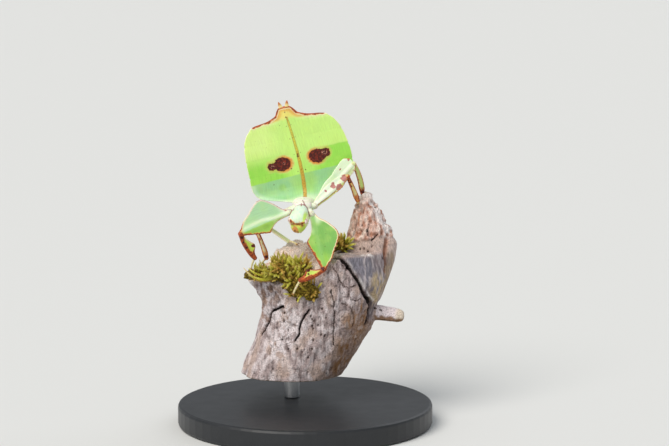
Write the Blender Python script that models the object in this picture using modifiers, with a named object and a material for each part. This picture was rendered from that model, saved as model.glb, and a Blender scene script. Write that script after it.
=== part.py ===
# Leaf insect nymph, life size, gripping a short broken branch on a plain display stand.
# Lengths are in millimetres until a mesh is made. +Z is up, the insect's head points to -Y, its right
# side is at -X, and the origin is the middle of the base's underside.

import math

import bmesh
import bpy
from mathutils import Vector, noise
from mathutils.bvhtree import BVHTree

MM = 0.001
GAP = 0.3  # clearance between neighbouring pieces
RIM_THINNING = 0.8  # share of a plate's thickness left at its rim

# Stand
BASE_RADIUS = 36.0
BASE_THICKNESS = 6.0
BASE_BEVEL = 0.8
ROD_RADIUS = 2.2

# Branch stub: height, centre x, half width, half depth of each level
STUB_LEVELS = (
    (13.0, -3.9, 14.2, 12.2),
    (18.0, -1.4, 14.9, 12.5),
    (26.0, 2.7, 15.9, 13.0),
    (31.0, 4.1, 16.4, 13.3),
    (34.5, 4.4, 16.9, 13.6),
    (37.5, 4.4, 18.2, 13.8),
    (40.5, 3.4, 20.6, 14.0),
    (50.0, 3.6, 18.6, 13.2),
)
STUB_CENTRE_Y = 6.0
STUB_SIDES = 52
STUB_RINGS = 15
STUB_TOP_RINGS = 5
RIM_HIGH = 48.9
RIM_DROP = 7.8  # how far the broken rim falls away on the mossy side
RIM_LOW_ANGLE = 205.0
RIM_BACK_SPAN = 76.0
RIM_FRONT_SPAN = 90.0
CROWN_HEIGHT = 47.6  # middle of the broken top
# The bark ends along a slanting crack; beyond it the bare wood lies a little deeper
CRACK_TOP, CRACK_BOTTOM = (288.0, 49.0), (343.0, 33.0)  # degrees round the stub, height
CRACK_SPAN = 85.0
CRACK_SHARP_SIDE, CRACK_SOFT_SIDE = 7.0, 20.0  # degrees over which each side of it steps down
BARE_WOOD_DEPTH = 0.7
# Roughness of the wood: lumps round the piece, height over which they change, share of the radius
STUB_GRAIN = ((3.2, 30.0, 0.045), (9.0, 22.0, 0.03))
SPLINTER_GRAIN = ((2.2, 9.0, 0.1), (6.0, 12.0, 0.1))
# Broken edge of the stub: lumps round it, place in the noise, height in millimetres
RIM_JAGS = ((3.4, 0.7, 1.2), (11.0, 5.7, 1.3))
CROWN_LUMP_HEIGHT, CROWN_LUMP_WIDTH = 0.9, 3.5
# Splinter that stands up at the right: height, centre x, centre y, half width, half depth
SPLINTER_STEPS = 12
SPLINTER_SIDES = 18
SPLINTER_LEVELS = (
    (28.0, 13.0, 8.0, 3.5, 5.0),
    (34.0, 16.0, 8.4, 5.2, 6.2),
    (40.0, 17.8, 8.8, 6.0, 6.8),
    (46.0, 18.9, 9.2, 7.0, 6.8),
    (50.4, 19.2, 9.8, 6.7, 6.0),
    (52.4, 18.6, 10.1, 5.5, 5.2),
    (55.9, 18.1, 10.8, 4.3, 4.4),
    (59.2, 17.7, 11.6, 3.1, 3.5),
    (62.0, 17.2, 12.3, 1.9, 2.6),
    (63.2, 17.0, 12.6, 1.2, 1.8),
)
TWIG_START, TWIG_END = Vector((15.0, 5.5, 31.0)), Vector((27.9, 2.2, 30.0))
TWIG_RADIUS = 1.9
TWIG_SIDES = 12
TWIG_SIZES = ((0.0, 1.25), (0.35, 1.05), (0.6, 0.95), (0.86, 0.95), (0.96, 0.8), (1.0, 0.45))

# Moss cushions: centre and half sizes
MOSS_CUSHIONS = (
    (Vector((-12.6, -2.2, 42.3)), Vector((4.9, 5.1, 2.5))),
    (Vector((-5.8, -3.4, 43.7)), Vector((5.0, 4.6, 3.8))),
    (Vector((-1.4, -5.4, 41.4)), Vector((4.8, 3.8, 5.6))),
    (Vector((1.8, -6.7, 39.0)), Vector((3.2, 2.7, 3.6))),
)
MOSS_LUMPS, MOSS_LUMP_SHARE = 2.6, 0.16
MOSS_TUFT = (Vector((9.8, 5.0, 49.3)), Vector((2.7, 2.4, 2.9)))

# Trunk of the body: position along y, half width, half height
THORAX_X, THORAX_Z = -0.45, 62.0
PROTHORAX = ((-4.6, 1.6, 1.15), (-4.1, 2.1, 1.45), (-2.9, 2.4, 1.65), (-1.65, 2.1, 1.55))
MESOTHORAX = ((-1.35, 2.1, 1.6), (-0.4, 2.3, 1.8), (1.2, 2.7, 1.95), (2.45, 2.95, 1.9))
METATHORAX = ((2.75, 2.95, 1.9), (4.0, 3.1, 1.9), (5.65, 2.9, 1.7))
TRUNK_SIDES = 20
TRUNK_SQUARENESS = 2.5  # power of the superellipse: 2 is an oval

# Head: distance from the neck, half width, half height, how far its middle lies below the axis
NECK = Vector((-0.8, -4.2, 62.1))
HEAD_DIRECTION = Vector((-0.2, -0.52, -0.83)).normalized()
HEAD_ACROSS_TILT = -0.08  # how far the head's left side sinks for each unit across
HEAD_STATIONS = (
    (0.0, 1.2, 1.1, 0.0),
    (0.5, 1.5, 1.5, 0.0),
    (1.5, 2.0, 2.0, 0.0),
    (2.6, 2.55, 2.33, 0.0),
    (3.6, 2.75, 2.38, 0.0),
    (4.6, 2.72, 2.27, 0.0),
    (5.4, 2.5, 1.95, 0.0),
    (5.7, 2.35, 1.5, 0.4),
    (6.3, 2.05, 1.4, 0.5),
    (6.9, 1.5, 1.15, 0.65),
    (7.25, 1.0, 0.85, 0.75),
)
HEAD_SIDES, HEAD_SQUARENESS = 22, 2.3
EYE_ALONG, EYE_ASIDE, EYE_ABOVE, EYE_RADIUS = 4.45, 2.12, 0.75, 0.85
ANTENNA_ALONG, ANTENNA_ASIDE, ANTENNA_ABOVE = 5.65, 1.6, 0.7
ANTENNA_RADIUS, ANTENNA_JOINTS, ANTENNA_JOINT_LENGTH = 0.3, 7, 0.5
# direction of a feeler's first and last joint: along the head, aside, above
ANTENNA_STARTS_TOWARDS = Vector((0.1, -0.15, 0.8))
ANTENNA_ENDS_TOWARDS = Vector((0.45, -0.55, 0.8))
LABRUM_ALONG, LABRUM_BELOW = 7.0, 0.6
LABRUM_RADIUS, LABRUM_STRETCH = 0.8, Vector((1.15, 0.85, 0.9))
PALP_RADIUS = 0.27
# joints of the outer and the inner palp: along the head, aside, above
PALP_POINTS = (
    ((7.0, 0.50, -0.9), (7.25, 0.82, -1.25), (7.2, 0.70, -1.8)),
    ((6.9, 0.24, -1.2), (7.15, 0.34, -1.6), (7.1, 0.30, -2.1)),
)

# Abdomen: it leaves the thorax level, curls up and then stands with its tip tilted to its right
ABDOMEN_START = Vector((-0.45, 5.95, 62.1))
ABDOMEN_LENGTH = 31.2
ABDOMEN_TILT = math.radians(12.0)
ABDOMEN_CURL_LENGTH = 9.5
ABDOMEN_STAND = math.radians(87.0)
ABDOMEN_LEAN = math.radians(11.0)  # further curl from the bend to the tip
ABDOMEN_BOW = 1.3  # how far the midline bows to the insect's left
ABDOMEN_STEPS = 624
# distance along the midline, half width
ABDOMEN_WIDTHS = (
    (0.0, 3.0), (0.9, 3.7), (2.0, 5.6), (3.0, 6.9), (4.3, 8.6), (6.1, 11.2), (7.7, 12.7),
    (9.8, 14.0), (12.0, 14.8), (15.3, 14.9), (19.0, 14.5), (22.4, 13.9), (24.8, 12.9), (26.3, 11.8),
    (27.1, 10.7), (27.5, 9.3), (27.65, 7.7), (27.95, 5.9), (28.5, 4.3), (29.0, 3.3), (30.0, 2.6),
    (30.7, 2.1), (31.2, 1.5),
)
# The insect's right side is a little wider: distance along the midline, millimetres more
ABDOMEN_RIGHT_MORE = (
    (0.0, 0.0), (3.0, 0.2), (4.3, 0.9), (6.1, 1.6), (7.7, 1.7), (9.0, 1.4), (10.5, 0.9), (12.0, 0.5),
    (15.3, 0.35), (19.0, 0.5), (22.4, 0.45), (24.8, 0.2), (26.3, 0.0), (31.2, 0.0),
)
ABDOMEN_PARTS = (("abdomen_base", 0.0, 9.0), ("abdomen_middle", 9.0, 28.6), ("abdomen_tip", 28.6, 31.2))
SEGMENT_ENDS = (4.6, 8.2, 12.7, 17.3, 21.8)
SEGMENT_NOTCH, SEGMENT_NOTCH_SPAN = 0.28, 0.5
ABDOMEN_HALF_THICKNESS = 0.33
ABDOMEN_CUP = 0.0028  # how the sides turn up: this times the square of the distance from the middle
ABDOMEN_SECTION_STEPS = (5, 8)
# The thicker middle that holds the gut
GUT_HALF_WIDTH = 3.0
GUT_NARROWS = 0.45
GUT_TOP_AT_ROOT, GUT_TOP, GUT_TOP_SETTLES = 1.55, 0.6, 6.0
GUT_BOTTOM_AT_ROOT, GUT_BOTTOM_AT_TIP = 1.6, 0.85
CERCUS_LENGTH, CERCUS_HALF_WIDTH, CERCUS_SPLAY = 1.6, 0.5, math.radians(12.0)
CERCUS_ASIDE = 0.72
CERCUS_OUTLINE = ((0.0, 0.85), (0.35, 1.0), (0.7, 0.75), (1.0, 0.3))
CERCUS_HALF_THICKNESS = (0.3, 0.22)  # at its root and its tip

# Legs: inside the thorax and femur base, then knee, ankle and foot of each
LEGS = {
    "leg_front_right": (
        (-1.5, -3.1, 61.4), (-4.4, -4.9, 60.7),
        (-17.6, -11.0, 55.6), (-13.8, -7.2, 48.3), (-14.9, -4.6, 45.2),
    ),
    "leg_front_left": (
        (0.4, -3.1, 61.3), (1.9, -4.9, 60.4),
        (5.4, -9.6, 45.6), (-1.2, -11.6, 42.8), (-3.0, -9.6, 38.6),
    ),
    "leg_mid_right": (
        (-2.0, 0.4, 61.2), (-4.3, -0.4, 60.9),
        (-13.7, -4.0, 56.0), (-10.7, -3.6, 47.7), (-12.4, -2.6, 44.6),
    ),
    "leg_mid_left": (
        (0.9, 0.4, 61.6), (2.75, 0.2, 61.9),
        (11.95, 4.0, 69.7), (14.85, 8.0, 62.4), (15.6, 10.4, 61.1),
    ),
    "leg_hind_right": (
        (-2.2, 4.2, 61.0), (-4.4, 5.2, 59.8),
        (-13.4, 14.0, 55.7), (-5.0, 13.2, 50.0), (-2.4, 12.0, 48.6),
    ),
    "leg_hind_left": (
        (1.3, 4.2, 61.5), (3.3, 4.1, 62.0),
        (13.7, 7.9, 72.95), (16.2, 11.6, 64.1), (17.5, 13.0, 63.3),
    ),
}
TOWARDS_CAMERA = Vector((0.0, -0.99, 0.14))
FACING = {
    "leg_front_right": TOWARDS_CAMERA,
    "leg_front_left": TOWARDS_CAMERA,
    "leg_mid_right": Vector((-0.2, -0.7, 0.7)),
    "leg_mid_left": TOWARDS_CAMERA,
    "leg_hind_right": Vector((-0.3, -0.5, 0.8)),
    "leg_hind_left": TOWARDS_CAMERA,
}
# share of the femur's length, outer lobe and inner lobe reach from the femur's axis
FEMUR_LOBES = {
    "mid_right": (
        (0.00, 0.85, 0.9), (0.10, 0.85, 1.1), (0.27, 0.95, 1.3), (0.46, 1.15, 1.6), (0.60, 1.5, 1.8),
        (0.70, 1.7, 1.9), (0.82, 1.5, 1.7), (0.90, 1.2, 1.3), (0.96, 1.0, 0.95), (1.00, 0.8, 0.8),
    ),
    "mid_left": (
        (0.00, 0.8, 0.9), (0.06, 0.76, 1.1), (0.16, 0.85, 1.5), (0.32, 1.1, 1.85), (0.45, 1.2, 2.05),
        (0.56, 1.3, 2.15), (0.66, 1.35, 2.1), (0.74, 1.35, 2.05), (0.82, 1.1, 1.85), (0.90, 0.8, 1.6),
        (0.96, 0.76, 1.35), (1.00, 0.76, 0.85),
    ),
    "hind_left": (
        (0.00, 0.9, 0.9), (0.12, 1.1, 1.35), (0.19, 1.2, 1.7), (0.30, 1.4, 2.2), (0.41, 1.5, 2.5),
        (0.54, 1.7, 2.5), (0.66, 1.8, 2.9), (0.75, 1.8, 3.05), (0.88, 1.7, 3.3), (0.95, 1.4, 3.1),
        (1.00, 0.9, 2.2),
    ),
    "front": (
        (0.00, 0.9, 0.85), (0.06, 1.4, 0.8), (0.11, 2.1, 0.8), (0.17, 3.3, 0.85), (0.25, 4.5, 1.0),
        (0.35, 5.7, 1.6), (0.42, 6.1, 2.4), (0.475, 6.15, 3.1), (0.54, 5.8, 2.85), (0.62, 5.15, 2.5),
        (0.72, 4.1, 2.05), (0.85, 2.9, 1.4), (0.94, 1.5, 0.95), (1.00, 0.8, 0.75),
    ),
    "mid": (
        (0.00, 0.9, 0.9), (0.08, 1.3, 1.0), (0.19, 1.7, 1.1), (0.39, 1.8, 1.35), (0.55, 1.85, 1.8),
        (0.70, 1.95, 1.9), (0.82, 1.75, 1.7), (0.90, 1.35, 1.3), (0.96, 1.0, 0.95), (1.00, 0.8, 0.8),
    ),
    "hind": (
        (0.00, 0.9, 0.9), (0.12, 1.1, 1.1), (0.30, 1.4, 1.25), (0.50, 1.7, 1.45), (0.70, 2.1, 2.0),
        (0.86, 2.1, 2.5), (0.93, 1.9, 2.4), (0.97, 1.3, 1.5), (1.00, 0.85, 0.85),
    ),
}
TIBIA_LOBES = {
    "hind_right": (
        (0.00, 0.62, 0.62), (0.25, 0.62, 0.58), (0.55, 0.62, 0.58), (0.82, 0.66, 0.62), (1.00, 0.62, 0.62),
    ),
    "front": (
        (0.00, 0.66, 0.66), (0.14, 0.72, 0.75), (0.28, 0.78, 1.1), (0.44, 0.8, 1.75), (0.56, 0.8, 2.3),
        (0.63, 0.8, 2.15), (0.76, 0.8, 1.3), (0.88, 0.76, 0.8), (1.00, 0.62, 0.62),
    ),
    "mid": (
        (0.00, 0.58, 0.58), (0.25, 0.6, 0.6), (0.55, 0.66, 0.66), (0.82, 0.82, 0.76), (1.00, 0.62, 0.62),
    ),
    "hind": (
        (0.00, 0.62, 0.62), (0.25, 0.76, 0.7), (0.55, 0.86, 0.76), (0.82, 0.9, 0.8), (1.00, 0.62, 0.62),
    ),
}
# how far the middle of each tibia bows out from the insect
TIBIA_BOWS = {
    "leg_front_right": 0.35, "leg_front_left": 0.35, "leg_mid_right": 0.25, "leg_mid_left": -0.1,
    "leg_hind_right": 0.0, "leg_hind_left": -0.5,
}
INNER_SIDE = {  # +1 where the inner lobe lies at the across direction's positive end
    "leg_front_right": -1, "leg_front_left": 1, "leg_mid_right": 1,
    "leg_mid_left": -1, "leg_hind_right": 1, "leg_hind_left": -1,
}
SHAFT_HALF_WIDTH = 0.62
SHAFT_HALF_HEIGHT = 0.6
LOBE_HALF_THICKNESS = 0.27
LEAST_LOBE = 0.12  # a lobe reaches at least this far beyond its shaft
LIMB_SECTION_STEPS = (3, 4)
COXA_RADII = (1.15, 1.1, 0.84)  # in the thorax, half way and at the femur
TARSUS_RADIUS = 0.36
TARSUS_STEPS = 9
TARSUS_JOINTS = 3
TARSUS_SWELL = 0.16  # how much wider each small joint of the foot is at its ends
# The foot is drawn towards a point this far along it and this far off the ground's side of it
TARSUS_BEND, TARSUS_LIFT = 0.62, 0.6
CLAW_LENGTH = 0.9
CLAW_RADIUS = 0.15
# claw root, middle and tip: distance ahead of the sole, aside, above
CLAW_POINTS = ((-0.32, 0.13, 0.0), (0.5 * CLAW_LENGTH, 0.36, 0.16), (CLAW_LENGTH, 0.52, 0.0))

COLOURS = {
    "pale_green": ((0.50, 0.72, 0.33), 0.45, 0.0),
    "leaf_green": ((0.42, 0.72, 0.16), 0.45, 0.0),
    "rust": ((0.45, 0.10, 0.03), 0.5, 0.0),
    "eye": ((0.62, 0.60, 0.38), 0.2, 0.0),
    "bark": ((0.30, 0.24, 0.20), 0.9, 0.0),
    "moss": ((0.30, 0.33, 0.04), 0.95, 0.0),
    "stand_paint": ((0.05, 0.05, 0.055), 0.4, 0.0),
    "steel": ((0.6, 0.6, 0.6), 0.3, 1.0),
}


def clear_scene():
    for old in list(bpy.data.objects):
        bpy.data.objects.remove(old)


def new_collection(name):
    collection = bpy.data.collections.new(name)
    bpy.context.scene.collection.children.link(collection)
    return collection


def make_materials():
    made = {}
    for name, (colour, roughness, metallic) in COLOURS.items():
        material = bpy.data.materials.new(name)
        material.use_nodes = True
        shader = material.node_tree.nodes["Principled BSDF"]
        shader.inputs["Base Color"].default_value = (*colour, 1.0)
        shader.inputs["Roughness"].default_value = roughness
        shader.inputs["Metallic"].default_value = metallic
        made[name] = material
    return made


def add_object(name, mesh, collection, material=None):
    obj = bpy.data.objects.new(name, mesh)
    collection.objects.link(obj)
    if material:
        mesh.materials.append(material)
    return obj


def smooth_step(value):
    value = min(max(value, 0.0), 1.0)
    return value * value * (3.0 - 2.0 * value)


def read_table(table, place):
    """Values of a table at a place along its first column, eased between its rows."""
    if place <= table[0][0]:
        return table[0][1:]
    for low, high in zip(table, table[1:]):
        if place <= high[0]:
            share = (place - low[0]) / (high[0] - low[0])
            return tuple(a + (b - a) * share for a, b in zip(low[1:], high[1:]))
    return table[-1][1:]


def roughness(c, s, height, lumps, rise, size):
    """Smooth noise round an upright piece: c and s give the direction, lumps how many fit round it."""
    return size * noise.noise(Vector((lumps * c, lumps * s, height / rise)))


def loft_mesh(name, rings, flip_from=None):
    """Closed mesh through rings of equal count. From ring place flip_from on, quads split the other way,
    so that the two faces of a thin plate have their triangles alike."""
    mesh = bmesh.new()
    count = len(rings[0])
    rows = [[mesh.verts.new(point * MM) for point in ring] for ring in rings]
    for row, following in zip(rows, rows[1:]):
        for i in range(count):
            j = (i + 1) % count
            a, b, c, d = row[i], row[j], following[j], following[i]
            if flip_from is not None and i >= flip_from:
                mesh.faces.new((a, b, d))
                mesh.faces.new((b, c, d))
            else:
                mesh.faces.new((a, b, c))
                mesh.faces.new((a, c, d))
    for row, ring, order in ((rows[0], rings[0], -1), (rows[-1], rings[-1], 1)):
        middle = mesh.verts.new(sum(ring, Vector()) / count * MM)
        for i in range(count):
            pair = (row[i], row[(i + 1) % count])[::order]
            mesh.faces.new((*pair, middle))
    bmesh.ops.recalc_face_normals(mesh, faces=mesh.faces)
    data = bpy.data.meshes.new(name)
    mesh.to_mesh(data)
    mesh.free()
    return data


def oval_ring(centre, across, up, half_width, half_height, sides, power=2.0):
    """Closed ring of a superellipse."""
    ring = []
    for i in range(sides):
        angle = 2.0 * math.pi * i / sides
        c, s = math.cos(angle), math.sin(angle)
        x = math.copysign(abs(c) ** (2.0 / power), c) * half_width
        y = math.copysign(abs(s) ** (2.0 / power), s) * half_height
        ring.append(centre + across * x + up * y)
    return ring


def plate_section(frame, reach, shaft, heights, steps, cup=0.0):
    """Ring of a flat plate with a raised shaft along its middle: top side across, then back beneath.
    frame is centre, across and normal; reach the two sides' widths; heights the shaft's top, its
    bottom and half the plate's thickness; steps the spans on each lobe and over the shaft."""
    centre, across, normal = frame
    low, high = reach
    top, bottom, edge = heights
    lobe_steps, shaft_steps = steps
    places = [-low + (low - shaft) * i / lobe_steps for i in range(lobe_steps)]
    places += [-shaft + 2.0 * shaft * i / shaft_steps for i in range(shaft_steps)]
    places += [shaft + (high - shaft) * i / lobe_steps for i in range(lobe_steps + 1)]
    above, below = [], []
    for u in places:
        bump = max(0.0, 1.0 - (u / shaft) ** 2) ** 0.8
        rim = edge * (RIM_THINNING if u in (places[0], places[-1]) else 1.0)
        middle = centre + across * u + normal * (cup * u * u)
        above.append(middle + normal * (rim + (top - edge) * bump))
        below.append(middle - normal * (rim + (bottom - edge) * bump))
    return above + below[::-1]


def slide_to_plane(ring, direction, origin, plane_normal):
    """Each point moved along direction to the plane, for a mitred end."""
    steep = direction.dot(plane_normal)
    return [p + direction * ((origin - p).dot(plane_normal) / steep) for p in ring]


def apply_modifiers(obj):
    graph = bpy.context.evaluated_depsgraph_get()
    graph.update()
    data = bpy.data.meshes.new_from_object(obj.evaluated_get(graph))
    obj.modifiers.clear()
    obj.data = data


def keep_largest(obj):
    """Drops every loose scrap but the largest closed surface."""
    mesh = bmesh.new()
    mesh.from_mesh(obj.data)
    left, groups = set(mesh.faces), []
    while left:
        seed = left.pop()
        group, stack = {seed}, [seed]
        while stack:
            face = stack.pop()
            for edge in face.edges:
                for other in edge.link_faces:
                    if other in left:
                        left.remove(other)
                        group.add(other)
                        stack.append(other)
        groups.append(group)
    groups.sort(key=lambda g: sum(f.calc_area() for f in g))
    for group in groups[:-1]:
        bmesh.ops.delete(mesh, geom=list(group), context="FACES")
    mesh.to_mesh(obj.data)
    mesh.free()


def fuse(obj, others, solver="EXACT"):
    """Joins closed meshes to obj with one union, then removes them."""
    pieces = bpy.data.collections.new(obj.name + "_pieces")
    bpy.context.scene.collection.children.link(pieces)
    for other in others:
        for held in list(other.users_collection):
            held.objects.unlink(other)
        pieces.objects.link(other)
    union = obj.modifiers.new("join", "BOOLEAN")
    union.operation = "UNION"
    union.operand_type = "COLLECTION"
    union.collection = pieces
    union.solver = solver
    apply_modifiers(obj)
    for other in others:
        bpy.data.objects.remove(other)
    bpy.data.collections.remove(pieces)
    keep_largest(obj)


def cut(obj, cutter):
    """Takes the cutter's volume away from obj and keeps the largest piece."""
    trim = obj.modifiers.new("cut", "BOOLEAN")
    trim.operation = "DIFFERENCE"
    trim.object = cutter
    trim.solver = "EXACT"
    apply_modifiers(obj)
    keep_largest(obj)


def helper(name, mesh):
    obj = add_object(name, mesh, CUTTERS)
    obj.hide_render = True
    obj.display_type = "WIRE"
    return obj


def smooth_shading(obj, angle=40.0):
    obj.data.shade_smooth()
    obj.data.set_sharp_from_angle(angle=math.radians(angle))


def primitive_cylinder(name, radius, low, high, centre_x, centre_y, sides):
    mesh = bmesh.new()
    bmesh.ops.create_cone(
        mesh, cap_ends=True, segments=sides,
        radius1=radius * MM, radius2=radius * MM, depth=(high - low) * MM,
    )
    bmesh.ops.translate(mesh, verts=mesh.verts, vec=Vector((centre_x, centre_y, (low + high) / 2)) * MM)
    data = bpy.data.meshes.new(name)
    mesh.to_mesh(data)
    mesh.free()
    return data


# Stand and branch


def make_stand(materials):
    base = add_object(
        "stand_base",
        primitive_cylinder("stand_base", BASE_RADIUS, 0.0, BASE_THICKNESS, 0.0, 0.0, 64),
        MODEL,
        materials["stand_paint"],
    )
    bevel = base.modifiers.new("soft rim", "BEVEL")
    bevel.width = BASE_BEVEL * MM
    bevel.segments = 2
    bevel.limit_method = "ANGLE"
    stub_bottom, stub_x = STUB_LEVELS[0][:2]
    rod_mesh = primitive_cylinder(
        "stand_rod", ROD_RADIUS, BASE_THICKNESS + GAP, stub_bottom - GAP, stub_x, STUB_CENTRE_Y, 24
    )
    rod = add_object("stand_rod", rod_mesh, MODEL, materials["steel"])
    for obj in (base, rod):
        smooth_shading(obj)


def rim_height(degrees):
    """Height of the stub's broken rim: low over the mossy front left, high elsewhere."""
    away = (degrees - RIM_LOW_ANGLE + 180.0) % 360.0 - 180.0
    span = RIM_FRONT_SPAN if away > 0 else RIM_BACK_SPAN
    drop = smooth_step((1.0 - abs(away) / span) * 1.8)
    c, s = math.cos(math.radians(degrees)), math.sin(math.radians(degrees))
    jagged = sum(roughness(c, s, place, lumps, 1.0, height) for lumps, place, height in RIM_JAGS)
    return RIM_HIGH - RIM_DROP * drop + jagged


def bare_wood(degrees, height):
    """1 where the bark has gone, 0 on the bark."""
    rise = (height - CRACK_BOTTOM[1]) / (CRACK_TOP[1] - CRACK_BOTTOM[1])
    edge = CRACK_BOTTOM[0] + (CRACK_TOP[0] - CRACK_BOTTOM[0]) * rise
    beyond = (degrees - edge) % 360.0
    near_side = smooth_step(beyond / CRACK_SHARP_SIDE)
    far_side = smooth_step((CRACK_SPAN - beyond) / CRACK_SOFT_SIDE)
    return near_side * far_side * smooth_step(rise * 4.0 + 1.0)


def stub_point(angle, height, grown):
    centre_x, half_width, half_depth = read_table(STUB_LEVELS, height)
    c, s = math.cos(angle), math.sin(angle)
    grain = 1.0 + sum(roughness(c, s, height, *row) for row in STUB_GRAIN)
    more = grown - BARE_WOOD_DEPTH * bare_wood(math.degrees(angle), height)
    return Vector((
        centre_x + (half_width * grain + more) * c,
        STUB_CENTRE_Y + (half_depth * grain + more) * s,
        height,
    ))


def stub_mesh(grown):
    bottom = STUB_LEVELS[0][0] - grown
    rings = []
    for k in range(STUB_RINGS):
        share = k / (STUB_RINGS - 1)
        ring = []
        for i in range(STUB_SIDES):
            degrees = 360.0 * i / STUB_SIDES
            height = bottom + (rim_height(degrees) + grown - bottom) * share
            ring.append(stub_point(math.radians(degrees), height, grown))
        rings.append(ring)
    rim = rings[-1]
    middle = sum(rim, Vector()) / len(rim)
    middle.z = CROWN_HEIGHT + grown
    for k in range(1, STUB_TOP_RINGS):
        share = k / STUB_TOP_RINGS
        ring = []
        for point in rim:
            inner = point.lerp(middle, share)
            inner.z = point.z + (middle.z - point.z) * smooth_step(share)
            inner.z += CROWN_LUMP_HEIGHT * noise.noise(inner / CROWN_LUMP_WIDTH) * share
            ring.append(inner)
        rings.append(ring)
    return loft_mesh("stub", rings)


def splinter_mesh(grown):
    rings = []
    first, last = SPLINTER_LEVELS[0][0], SPLINTER_LEVELS[-1][0]
    for k in range(SPLINTER_STEPS):
        height = first + (last - first) * k / (SPLINTER_STEPS - 1)
        rise = grown if height == last else 0.0
        cx, cy, half_width, half_depth = read_table(SPLINTER_LEVELS, height)
        ring = []
        for i in range(SPLINTER_SIDES):
            angle = 2.0 * math.pi * i / SPLINTER_SIDES
            c, s = math.cos(angle), math.sin(angle)
            grain = 1.0 + sum(roughness(c, s, height, *row) for row in SPLINTER_GRAIN)
            ring.append(Vector((
                cx + (half_width * grain + grown) * c, cy + (half_depth * grain + grown) * s, height + rise
            )))
        rings.append(ring)
    return loft_mesh("splinter", rings)


def twig_mesh(grown):
    axis = (TWIG_END - TWIG_START).normalized()
    across = axis.cross(Vector((0, 0, 1))).normalized()
    up = across.cross(axis)
    rings = []
    for place, size in TWIG_SIZES:
        centre = TWIG_START.lerp(TWIG_END, place) + axis * (grown if place == 1.0 else 0.0)
        radius = TWIG_RADIUS * size + grown
        rings.append(oval_ring(centre, across, up, radius, radius, TWIG_SIDES))
    return loft_mesh("twig", rings)


def make_perch(name, collection, grown=0.0, material=None):
    stub = add_object(name, stub_mesh(grown), collection, material)
    fuse(stub, [
        add_object("splinter", splinter_mesh(grown), collection),
        add_object("twig", twig_mesh(grown), collection),
    ])
    return stub


def cushion_mesh(centre, half_sizes):
    mesh = bmesh.new()
    bmesh.ops.create_icosphere(mesh, subdivisions=3, radius=1.0)
    for vert in mesh.verts:
        lumps = 1.0 + MOSS_LUMP_SHARE * noise.noise(vert.co * MOSS_LUMPS + centre)
        stretched = vert.co * half_sizes * lumps
        vert.co = (centre + stretched) * MM
    data = bpy.data.meshes.new("cushion")
    mesh.to_mesh(data)
    mesh.free()
    return data


def make_moss_tuft(materials, grown_perch):
    tuft = add_object("perch_moss_tuft", cushion_mesh(*MOSS_TUFT), MODEL, materials["moss"])
    cut(tuft, grown_perch)
    smooth_shading(tuft)


def make_moss(materials, grown_perch):
    cushions = [add_object("moss_cushion", cushion_mesh(*cushion), MODEL) for cushion in MOSS_CUSHIONS]
    moss = cushions[0]
    moss.name = "perch_moss"
    moss.data.materials.append(materials["moss"])
    fuse(moss, cushions[1:])
    cut(moss, grown_perch)
    return moss


# Body


def trunk_mesh(stations, grown=0.0):
    rings = []
    for place, half_width, half_height in stations:
        centre = Vector((THORAX_X, place, THORAX_Z))
        rings.append(oval_ring(
            centre, Vector((1, 0, 0)), Vector((0, 0, 1)),
            half_width + grown, half_height + grown, TRUNK_SIDES, TRUNK_SQUARENESS,
        ))
    return loft_mesh("trunk", rings)


def make_thorax(materials, head_clearance):
    segments = {"prothorax": PROTHORAX, "mesothorax": MESOTHORAX, "metathorax": METATHORAX}
    for name, stations in segments.items():
        obj = add_object(name, trunk_mesh(stations), MODEL, materials["pale_green"])
        if name == "prothorax":
            cut(obj, head_clearance)
        smooth_shading(obj)


def grown_thorax():
    whole = PROTHORAX + MESOTHORAX + METATHORAX
    return helper("thorax_clearance", trunk_mesh(whole, GAP))


def head_frame():
    forward = HEAD_DIRECTION
    back = -(forward.x + forward.z * HEAD_ACROSS_TILT) / forward.y
    across = Vector((1.0, back, HEAD_ACROSS_TILT)).normalized()
    return forward, across, forward.cross(across)


def head_point(along, aside, above):
    forward, across, up = head_frame()
    return NECK + forward * along + across * aside + up * above


def head_mesh(grown=0.0):
    forward, across, up = head_frame()
    rings = []
    for along, half_width, half_height, drop in HEAD_STATIONS:
        at_end = grown * (1 if along == HEAD_STATIONS[-1][0] else -1 if along == 0.0 else 0)
        centre = NECK + forward * (along + at_end) - up * drop
        rings.append(oval_ring(
            centre, across, up, half_width + grown, half_height + grown, HEAD_SIDES, HEAD_SQUARENESS
        ))
    return loft_mesh("head", rings)


def ball_mesh(name, centre, radius, stretch=Vector((1, 1, 1)), rows=10, turns=16):
    mesh = bmesh.new()
    bmesh.ops.create_uvsphere(mesh, u_segments=turns, v_segments=rows, radius=radius * MM)
    bmesh.ops.scale(mesh, verts=mesh.verts, vec=stretch)
    bmesh.ops.translate(mesh, verts=mesh.verts, vec=centre * MM)
    data = bpy.data.meshes.new(name)
    mesh.to_mesh(data)
    mesh.free()
    return data


def antenna_path(side):
    """Short feeler: out of the brow, then forward and down over the face."""
    point = head_point(ANTENNA_ALONG, side * ANTENNA_ASIDE, ANTENNA_ABOVE)
    forward, across, up = head_frame()
    path = [point]
    for k in range(ANTENNA_JOINTS):
        turn = k / (ANTENNA_JOINTS - 1)
        ahead, aside, above = ANTENNA_STARTS_TOWARDS.lerp(ANTENNA_ENDS_TOWARDS, turn)
        direction = (forward * ahead + across * side * aside + up * above).normalized()
        path.append(path[-1] + direction * ANTENNA_JOINT_LENGTH)
    return path


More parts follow.
